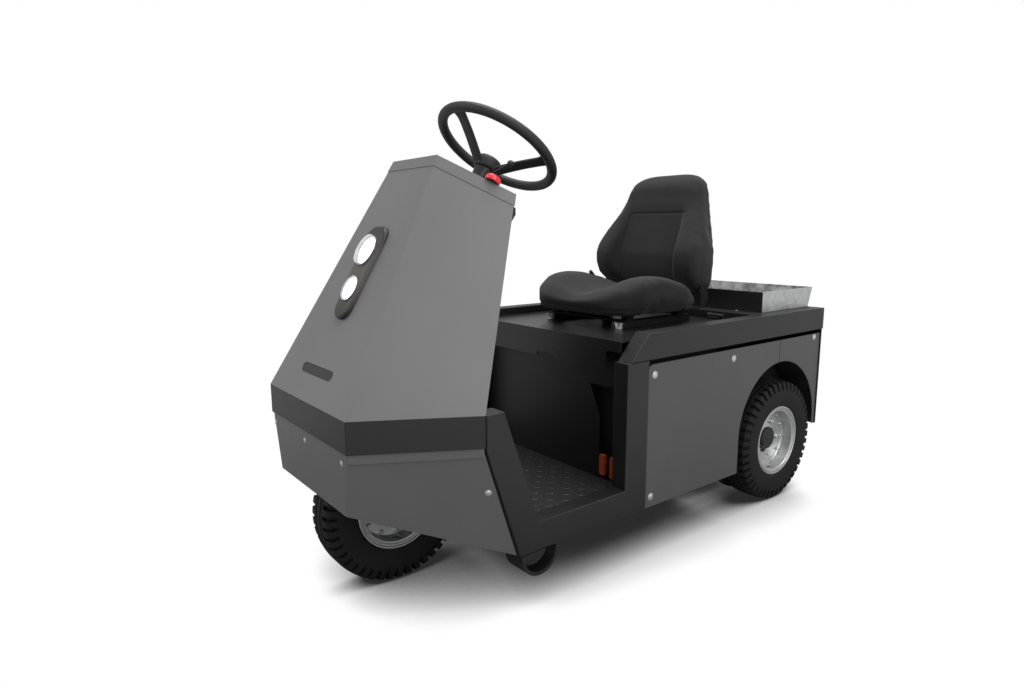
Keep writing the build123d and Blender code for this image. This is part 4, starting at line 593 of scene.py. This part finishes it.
# ==== seat =================================================================================================
# A bought-in suspension seat: steel slides and brackets, and foam pads under a woven charcoal cover. The
# backrest has a panel let in between its bolsters, and the cushion a trough. The pads are blown up by
# cloth simulation from their plain solids, and the seams are pressed in afterwards.
BRACKET_EDGE = 0.0010
# The seat's frame and brackets take the black darkened as painted shade.
bevelled("seat_frame", painted_shade_black, BRACKET_EDGE, "seat")
bevelled("backrest_brackets", painted_shade_black, BRACKET_EDGE, "backrest")
bevelled("recline_lever", black_plastic, 0.0015, "seat")

seat_cloth, start = new_material("woven charcoal cloth")
threads = start.node("ShaderNodeSeparateXYZ", None, {0: place_of(start)})
THREAD_TURNS = 5200.0      # radians of weave to the metre
warp = threads["X"] * THREAD_TURNS
weft = threads["Z"] * THREAD_TURNS + threads["Y"] * (THREAD_TURNS / 2)
weave = warp.sum_of("SINE", warp) * weft.sum_of("SINE", weft)
fibre = grain(start, 1500.0, 3.0)
fade = grain(start, 7.0, 4.0).band(0.3, 0.7)
tone = weave * 0.15 + fibre * 0.55 + fade * 0.35
finish(
    start, tone.tint((0.005, 0.0052, 0.0054), (0.013, 0.0132, 0.0134)), 0.86, bump=weave * 0.4 + fibre, height=0.0003,
    Sheen_Weight=0.13, Sheen_Roughness=0.35,
)
VOXEL = 0.006
PRESSURE, TRAVEL_CAP, BLOW_STEPS = 4.0, 0.006, 20
SEAM_DEPTH, SEAM_WIDTH = 0.0028, 0.0032


def pad_from(node, shaped):
    """A foam pad: the solid is remeshed and shaped, blown up as cloth under pressure, and capped in its travel."""
    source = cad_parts[node]
    piece = bpy.data.objects.new(node + "_pad", source.data.copy())
    bpy.context.scene.collection.objects.link(piece)
    remesh = piece.modifiers.new("voxels", "REMESH")
    remesh.mode, remesh.voxel_size = "VOXEL", VOXEL
    smooth = piece.modifiers.new("rounded", "SMOOTH")
    smooth.factor, smooth.iterations = 0.5, 5
    settle(piece)
    drawn = shaped(corners_of(piece.data), normals_of(piece.data))
    piece.data.vertices.foreach_set("co", drawn.ravel())
    cloth = piece.modifiers.new("blown", "CLOTH")
    cloth.settings.quality = 5
    cloth.settings.mass = 0.3
    cloth.settings.tension_stiffness = cloth.settings.compression_stiffness = 40
    cloth.settings.bending_stiffness = 30.0
    cloth.settings.use_pressure = True
    cloth.settings.uniform_pressure_force = PRESSURE
    cloth.settings.effector_weights.gravity = 0.0
    for moment in range(1, BLOW_STEPS + 1):
        bpy.context.scene.frame_set(moment)
    settle(piece)
    travel = corners_of(piece.data) - drawn
    length = np.linalg.norm(travel, axis=1, keepdims=True)
    blown = drawn + travel * np.minimum(1.0, TRAVEL_CAP / np.maximum(length, 1e-9))
    piece.data.vertices.foreach_set("co", blown.ravel())
    bpy.context.scene.frame_set(1)
    again = piece.modifiers.new("eased", "SMOOTH")
    again.factor, again.iterations = 0.5, 14
    finer = piece.modifiers.new("finer", "SUBSURF")
    finer.levels = finer.render_levels = 1
    settle(piece)
    return piece


def settle(piece):
    """Replaces a piece's mesh by what its modifiers make of it."""
    made = bpy.data.meshes.new_from_object(piece.evaluated_get(bpy.context.evaluated_depsgraph_get()))
    piece.modifiers.clear()
    piece.data = made


def corners_of(mesh):
    """A mesh's points as rows."""
    flat = np.empty(len(mesh.vertices) * 3)
    mesh.vertices.foreach_get("co", flat)
    return flat.reshape(-1, 3)


def normals_of(mesh):
    """The normals at a mesh's points as rows."""
    flat = np.empty(len(mesh.vertices) * 3)
    mesh.vertex_normals.foreach_get("vector", flat)
    return flat.reshape(-1, 3)


def press_seams(piece, distance):
    """Pulls points in along their normals by a smooth groove, given each point's distance from a seam."""
    points = corners_of(piece.data)
    groove = SEAM_DEPTH * np.exp(-((distance(points) / SEAM_WIDTH) ** 2))
    piece.data.vertices.foreach_set("co", (points - normals_of(piece.data) * groove[:, None]).ravel())


LEAN = math.radians(9.0)
PIVOT = spot(0.0, 1262.0, 700.0)
PANEL_MIDDLE, PANEL_HALF, PANEL_TOP, PANEL_BACK = 0.009, 0.127, 0.270, -0.030      # in the backrest's own frame
BACK_FOAM, BACK_FOAM_BEHIND, BACK_FOAM_TOP = 0.0050, 0.0035, 0.0020
LOW_SIDE_LESS, LOW_SIDE_MORE = 0.0045, 0.0060          # foam at the two lower corners, which differ
PANEL_DEPTH, BACK_HANG = 0.0035, 0.012                 # how far the panel is let in, and the foot hangs down
CUSHION_FOAM, CUSHION_FOAM_FRONT = 0.0055, 0.0040
TROUGH_HALF, TROUGH_DEPTH, TROUGH_FRONT = 0.185, 0.016, 0.007      # half width, depth, and more of it in front
CUSHION_FRONT, LIP_DROP, REAR_DROP = 870.0, 0.008, 0.020   # station of the lip, and how far lip and rear drop
BOXING_SEAM = 0.678        # its height


def back_frame(points):
    """Points as distance across, up the backrest from its pivot, and ahead of it."""
    local = points - PIVOT
    up = local[:, 1] * math.sin(LEAN) + local[:, 2] * math.cos(LEAN)
    ahead = -local[:, 1] * math.cos(LEAN) + local[:, 2] * math.sin(LEAN)
    return local[:, 0], up, ahead


def step(value, low, high):
    """0 below low, 1 above high, and a smooth step between, for arrays."""
    share = np.clip((value - low) / (high - low), 0.0, 1.0)
    return share * share * (3.0 - 2.0 * share)


def back_shape(points, normals):
    """Foam over the whole backrest, fuller behind and at the top, with the middle panel let in."""
    across, up, ahead = back_frame(points)
    facing = normals[:, 2] * math.sin(LEAN) - normals[:, 1] * math.cos(LEAN)
    foam = BACK_FOAM + BACK_FOAM_BEHIND * np.clip(-facing, 0, 1) + BACK_FOAM_TOP * step(up, 0.15, 0.35)
    foam -= LOW_SIDE_LESS * step(-across, 0.15, 0.20) * step(-up, -0.22, -0.10)
    foam += LOW_SIDE_MORE * step(across, 0.15, 0.20) * step(-up, -0.20, -0.10)
    let_in = PANEL_DEPTH * step(-np.abs(across - PANEL_MIDDLE), -0.155, -0.105) * step(facing, 0.2, 0.7)
    let_in *= step(-up, -0.300, -0.250)
    hang = BACK_HANG * step(-up, -0.13, -0.03)
    ahead_of = np.array((0.0, -math.cos(LEAN), math.sin(LEAN)))
    up_of = np.array((0.0, math.sin(LEAN), math.cos(LEAN)))
    return points + normals * foam[:, None] - ahead_of * let_in[:, None] - up_of * hang[:, None]


def back_seams(points):
    """Distance from the centre panel's side seams and the seam across its top, on the front face only."""
    across, up, ahead = back_frame(points)
    out = np.abs(across - PANEL_MIDDLE)
    side = np.abs(out - PANEL_HALF + 0.006 * np.clip((up - 0.15) / 0.12, 0, 1)) + 0.0035 * (across > 0)
    side = np.where((up < PANEL_TOP) & (ahead > PANEL_BACK), side, 1.0)
    top = np.where((out < PANEL_HALF - 0.006) & (ahead > PANEL_BACK), np.abs(up - PANEL_TOP), 1.0)
    return np.minimum(side, top)


def cushion_shape(points, normals):
    """Foam over the whole cushion, a low lip and rear, and a trough in the middle that deepens to the lip."""
    foam = CUSHION_FOAM + CUSHION_FOAM_FRONT * np.clip(-normals[:, 1], 0, 1)
    behind = points[:, 1] + (STATION_ZERO - CUSHION_FRONT) / 1000
    trough = 0.5 + 0.5 * np.cos(np.pi * np.clip(points[:, 0] / TROUGH_HALF, -1, 1))
    drop = LIP_DROP * (1.0 - step(behind, 0.03, 0.14)) + REAR_DROP * step(behind, 0.12, 0.32)
    drop += (TROUGH_DEPTH + TROUGH_FRONT * (1.0 - step(behind, 0.10, 0.28))) * trough
    drop *= step(points[:, 2], 0.685, 0.735)
    return points + normals * foam[:, None] - np.array((0.0, 0.0, 1.0)) * drop[:, None]


def cushion_seams(points):
    """Distance from the boxing seam round the cushion's foot."""
    return np.abs(points[:, 2] - BOXING_SEAM)


for node, body, shaped, seams in (
    ("seat_cushion", "seat", cushion_shape, cushion_seams), ("seat_backrest", "backrest", back_shape, back_seams),
):
    pad = pad_from(node, shaped)
    press_seams(pad, seams)
    pad.data.materials.clear()
    pad.data.materials.append(seat_cloth)
    pad.data.shade_smooth()
    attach(pad, body)
    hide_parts(node)

# ==== cargo tray ===========================================================================================
# An open tray of 3 mm hot-dip galvanised sheet, folded and welded, its back flared, with a black front.
galvanised, start = new_material("hot-dip galvanised")
place = place_of(start)
spangle = start.node("ShaderNodeTexVoronoi", None, {"Vector": place, "Scale": 70.0})["Color"]
flakes = start.node("ShaderNodeSeparateColor", None, {0: spangle})["Red"]
shade = flakes * 0.55 + grain(start, 9.0, 4.0) * 0.45
# Painted shade: faces that look in towards the tray's middle take a darker tone, mottled like the sheet, that stands
# in for the shade inside the tray.
TRAY_MIDDLE = (0.0, 0.62, 0.72)
from_middle = start.node("ShaderNodeVectorMath", {"operation": "SUBTRACT"}, {0: place, 1: TRAY_MIDDLE})
facing = start.node("ShaderNodeTexCoord")["Normal"]
outward = start.node("ShaderNodeVectorMath", {"operation": "DOT_PRODUCT"}, {0: from_middle, 1: facing})["Value"]
outward_faces = outward.band(-0.02, 0.0)
sheet = shade.tint((0.44, 0.455, 0.45), (0.72, 0.73, 0.725))
painted_inner_shade = (flakes * 0.4 + grain(start, 22.0, 5.0).band(0.35, 0.65) * 0.6).tint((0.14, 0.14, 0.14), (0.46, 0.465, 0.46))
finish(start, outward_faces.tint(painted_inner_shade, sheet), 0.36 + flakes * 0.2, 0.75)
bevelled("cargo_tray", galvanised, 0.0010, "chassis")
bevelled("tray_front_panel", deck_black, 0.0008, "chassis")

# ==== wheels ===============================================================================================
# Industrial cross-ply tyres on split steel rims: shoulder lugs cut by deep notches, two grooves and a
# plain rib in the middle, and smooth sidewalls. The rims are zinc plated and dished deep.
rubber, start = new_material("tyre rubber")
dust = grain(start, 16.0, 5.0).band(0.35, 0.75)
shade = dust.tint((0.005, 0.005, 0.0052), (0.010, 0.010, 0.010))
finish(start, shade, 0.66 + dust * 0.15, bump=grain(start, 800.0, 3.0), height=0.0001, Specular_IOR_Level=0.38)
TYRE_RADIUS, LUGS, NOTCH_DEPTH = 205.0, 45, 0.010      # the radius in millimetres
HALF_PROFILE = np.array([  # millimetres: distance from the middle, radius, share of the notch's depth
    (37.7, 104.0, 0), (40.6, 113.0, 0), (41.6, 118.4, 0), (45.5, 118.8, 0), (46.6, 121.0, 0), (48.4, 124.0, 0),
    (49.0, 129.0, 0), (50.3, 137.0, 0), (51.0, 145.0, 0), (51.8, 152.0, 0), (52.0, 160.0, 0), (51.7, 168.0, 0),
    (51.0, 174.0, 0), (51.1, 175.5, 0.25), (50.6, 179.0, 0.7), (49.6, 184.0, 1), (48.2, 190.0, 1), (46.4, 196.0, 1),
    (45.0, 199.6, 1), (43.0, 201.9, 1), (39.0, 202.7, 1), (33.0, 203.6, 1), (27.0, 204.3, 1), (24.0, 204.6, 1),
    (23.4, 204.7, 0), (19.0, 205.0, 0), (16.0, 205.0, 0), (14.6, 204.0, 0), (14.0, 196.8, 0), (13.2, 196.0, 0),
    (9.8, 196.0, 0), (9.0, 196.8, 0), (8.4, 204.0, 0), (7.0, 205.0, 0), (2.5, 205.0, 0),
])


def tyre_patch(centre):
    """A tyre's surface: its section swept round the axle, drawn in by the notches, which alternate side to side."""
    other = HALF_PROFILE[::-1] * (-1, 1, 1)
    section = np.concatenate([HALF_PROFILE, other])
    cuts = np.array((0.0, 0.2, 0.4, 0.58, 0.615, 0.8, 0.965))      # shares of the pitch from one lug to the next
    level = np.array((0.0, 0.0, 0.0, 0.0, 1.0, 1.0, 1.0))          # 0 on the lug, 1 in the notch
    pitch = 2 * np.pi / LUGS
    angle = (np.arange(LUGS)[:, None] + cuts).ravel() * pitch
    notch = np.tile(level, LUGS)
    stagger = np.clip(section[:, 0] / 14.0, -0.5, 0.5) * 0.5 * pitch
    turn = angle[None, :] + stagger[:, None]
    slope = np.gradient(section[:, :2], axis=0)
    inward = np.stack([-slope[:, 1], slope[:, 0]], -1)
    inward /= np.linalg.norm(inward, axis=1, keepdims=True)
    depth = section[:, 2:3] * notch[None, :] * NOTCH_DEPTH
    across = section[:, 0:1] / 1000 + inward[:, 0:1] * depth
    radius = section[:, 1:2] / 1000 + inward[:, 1:2] * depth
    points = np.stack([across, radius * np.cos(turn), radius * np.sin(turn)], -1)
    return points + centre, True, True


RIM_SECTION = np.array([   # millimetres: distance outwards from the middle, radius
    (45.0, 117.0), (44.6, 118.0), (43.4, 118.0), (42.6, 117.0), (41.0, 113.0), (38.0, 103.7), (-38.0, 103.7),
    (-41.0, 113.0), (-42.6, 117.0), (-43.4, 118.0), (-44.6, 118.0), (-45.0, 117.0), (-44.6, 114.5), (-40.0, 110.0),
    (-38.5, 101.0),
])
RIM_FRONT = np.array([     # the outer lip is a lock ring, with a groove between it and the rim
    (38.5, 101.0), (39.6, 105.0), (42.0, 106.2), (43.0, 108.0), (43.0, 110.2), (42.4, 110.9), (38.8, 111.2),
    (38.8, 112.3), (43.4, 112.6), (44.6, 113.6), (45.0, 115.0),
])


def rim_patches(centre, side, bore, face, hub):
    """A rim: a turned section with lips, barrel, disc and hub barrel, closed on its bore."""
    back = face - 8.0
    inner = [(back - 1.0, 96.0), (back, 93.0), (back, 43.0), (hub[0], 36.0), (hub[0], 33.0), (hub[0], bore)]
    outer = [(hub[1], bore), (hub[1], 33.0), (hub[1] - 1.0, 34.0), (face + 1.0, 41.0), (face, 44.0), (face, 93.0)]
    outer += [(face + 1.0, 96.0), (face + 4.0, 98.6), (face + 12.0, 99.6)]
    section = np.concatenate([RIM_SECTION, inner, outer, RIM_FRONT]) / 1000
    return [turned(section, centre, (side, 0, 0), 128, ring=True)]


HEX = np.array([(0.0, 0.0), (0.0, 1.0), (0.72, 1.0), (0.84, 0.88), (0.84, 0.0)])
NUT_WASHER, NUT_HEX, NUT_STAND = 0.9, 0.95, 0.14           # shares of the head's radius


def nut_patches(centre, side, face, rings):
    """Hexagon heads on washers, in rings round the disc."""
    made = []
    for count, circle, radius, first in rings:
        for k in range(count):
            turn = math.radians(first + 360.0 * k / count)
            arm = np.array((side * face, circle * math.cos(turn), circle * math.sin(turn))) / 1000
            size = radius / 1000
            made.append(turned(WASHER * size * NUT_WASHER, centre + arm, (side, 0, 0), 20))
            made.append(turned(HEX * size * NUT_HEX + (size * NUT_STAND, 0.0), centre + arm, (side, 0, 0), 6))
    return made


def slot_cutter(centre, side, width, length, out):
    """A round-ended bar standing through the bottom of a rim's barrel."""
    ring = np.linspace(0, 2 * np.pi, 32, False)
    long = (length - width) / 2 * np.sign(np.cos(ring)) + width / 2 * np.cos(ring)
    points = [
        np.stack([0 * ring + side * out + width / 2 * np.sin(ring), long, 0 * ring + low], -1) for low in (-120, -85)
    ]
    return np.array(points) / 1000 + centre, False, True


# rings of heads: how many, radius of their circle, radius of a head, first angle
FRONT_HEADS = ((12, 88.5, 7.0, 7.0),)
REAR_HEADS = ((12, 88.5, 7.0, 23.0), (5, 60.0, 9.5, -5.0))
FRONT_STATION, REAR_STATION, REAR_X = 225.5, 1500.0, 322.0
FRONT_BORE, REAR_BORE, FRONT_HUB, REAR_HUB = 12.05, 20.05, (-26.0, 26.0), (-16.0, 4.0)
WHEELS = (                 # start and end of the names, x, station, side, bore, hub span, rings of heads
    ("front", "", 0.0, FRONT_STATION, 1, FRONT_BORE, FRONT_HUB, FRONT_HEADS),
    ("rear", "_left", REAR_X, REAR_STATION, 1, REAR_BORE, REAR_HUB, REAR_HEADS),
    ("rear", "_right", -REAR_X, REAR_STATION, -1, REAR_BORE, REAR_HUB, REAR_HEADS),
)
DISC_FACE, VALVE_SLOT = 2.0, (9.0, 24.0, 17.0)         # the slot's width, length and place across
for end, hand, x, station, side, bore, hub_span, rings in WHEELS:
    body, tyre, rim = end + "_wheel" + hand, end + "_tyre" + hand, end + "_rim" + hand
    centre = spot(x, station, TYRE_RADIUS)
    build(tyre + "_finished", [tyre_patch(centre)], rubber, body, 30.0, (tyre,))
    cutter = joined("slot", [slot_cutter(centre, side, *VALVE_SLOT)], zinc)
    patches = rim_patches(centre, side, bore, DISC_FACE, hub_span)
    piece = build(rim + "_finished", patches, zinc, body, 30.0, (rim,))
    hole = piece.modifiers.new("valve slot", "BOOLEAN")
    hole.operation, hole.object, hole.solver = "DIFFERENCE", cutter, "EXACT"
    settle(piece)
    bpy.data.objects.remove(cutter)
    build(rim + "_bolts", nut_patches(centre, side, DISC_FACE, rings), zinc, body, 30.0)
CAP = np.array([(-0.4, 0), (-0.4, 34), (0, 37), (0.8, 38), (5.5, 37.6), (7.4, 35.5), (8.0, 31), (8.0, 0)]) / 1000
PLUG = np.array([(0, 0), (0, 14), (5.5, 14), (7.5, 12.6), (8.0, 10), (8.0, 0)]) / 1000
CAP_OUT, PLUG_PLACE = 4.0, (0.0, -0.024, -0.031)
for name, side in (("left", 1), ("right", -1)):
    centre = spot(side * (REAR_X + CAP_OUT), REAR_STATION, TYRE_RADIUS)
    patches = [turned(CAP, centre, (side, 0, 0), 48), turned(PLUG, centre + PLUG_PLACE, (side, 0, 0), 32)]
    build(
        "hub_cap_" + name + "_finished", patches, black_plastic, "rear_wheel_" + name,
        replaced=("hub_cap_" + name,),
    )

# ==== underbody ============================================================================================
# Fork, steering head, axle, motor and subframe: welded and cast steel painted black, the arches sheet.
chassis_paint, start = new_material("chassis black")
grime = grain(start, 22.0, 5.0).band(0.3, 0.8)
shade = grime.tint((0.012, 0.012, 0.0125), (0.022, 0.021, 0.020))
finish(start, shade, 0.45 + grime * 0.2, bump=grain(start, 260.0, 3.0))
UNDERBODY = (              # node, body, broken edge
    ("steering_head", "chassis", 0.0015),
    ("wheel_arches", "chassis", 0.0010),
    ("rear_subframe", "chassis", 0.0015),
    ("rear_axle", "chassis", 0.0020),
    ("drive_motor", "chassis", 0.0030),
    ("front_fork", "front_fork", 0.0020),
)
for node, body, edge in UNDERBODY:
    bevelled(node, chassis_paint, edge, body)

# ==== rear panel, hitch and lamps ==========================================================================
# A plain black plate with the three-plate tow jaw bolted to it, a zinc drop pin, and two round lamps.
bevelled("rear_panel", frame_black, 0.0010, "chassis")
bevelled("tow_hitch", chassis_paint, 0.0020, "chassis")
bevelled("tow_pin", zinc, 0.0015, "tow_pin")
red_lens, start = new_material("red lens")
finish(start, (0.36, 0.006, 0.008), 0.18, Coat_Weight=0.6)
bevelled("rear_lamps", red_lens, 0.0040, "chassis", segments=4)

low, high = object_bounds()
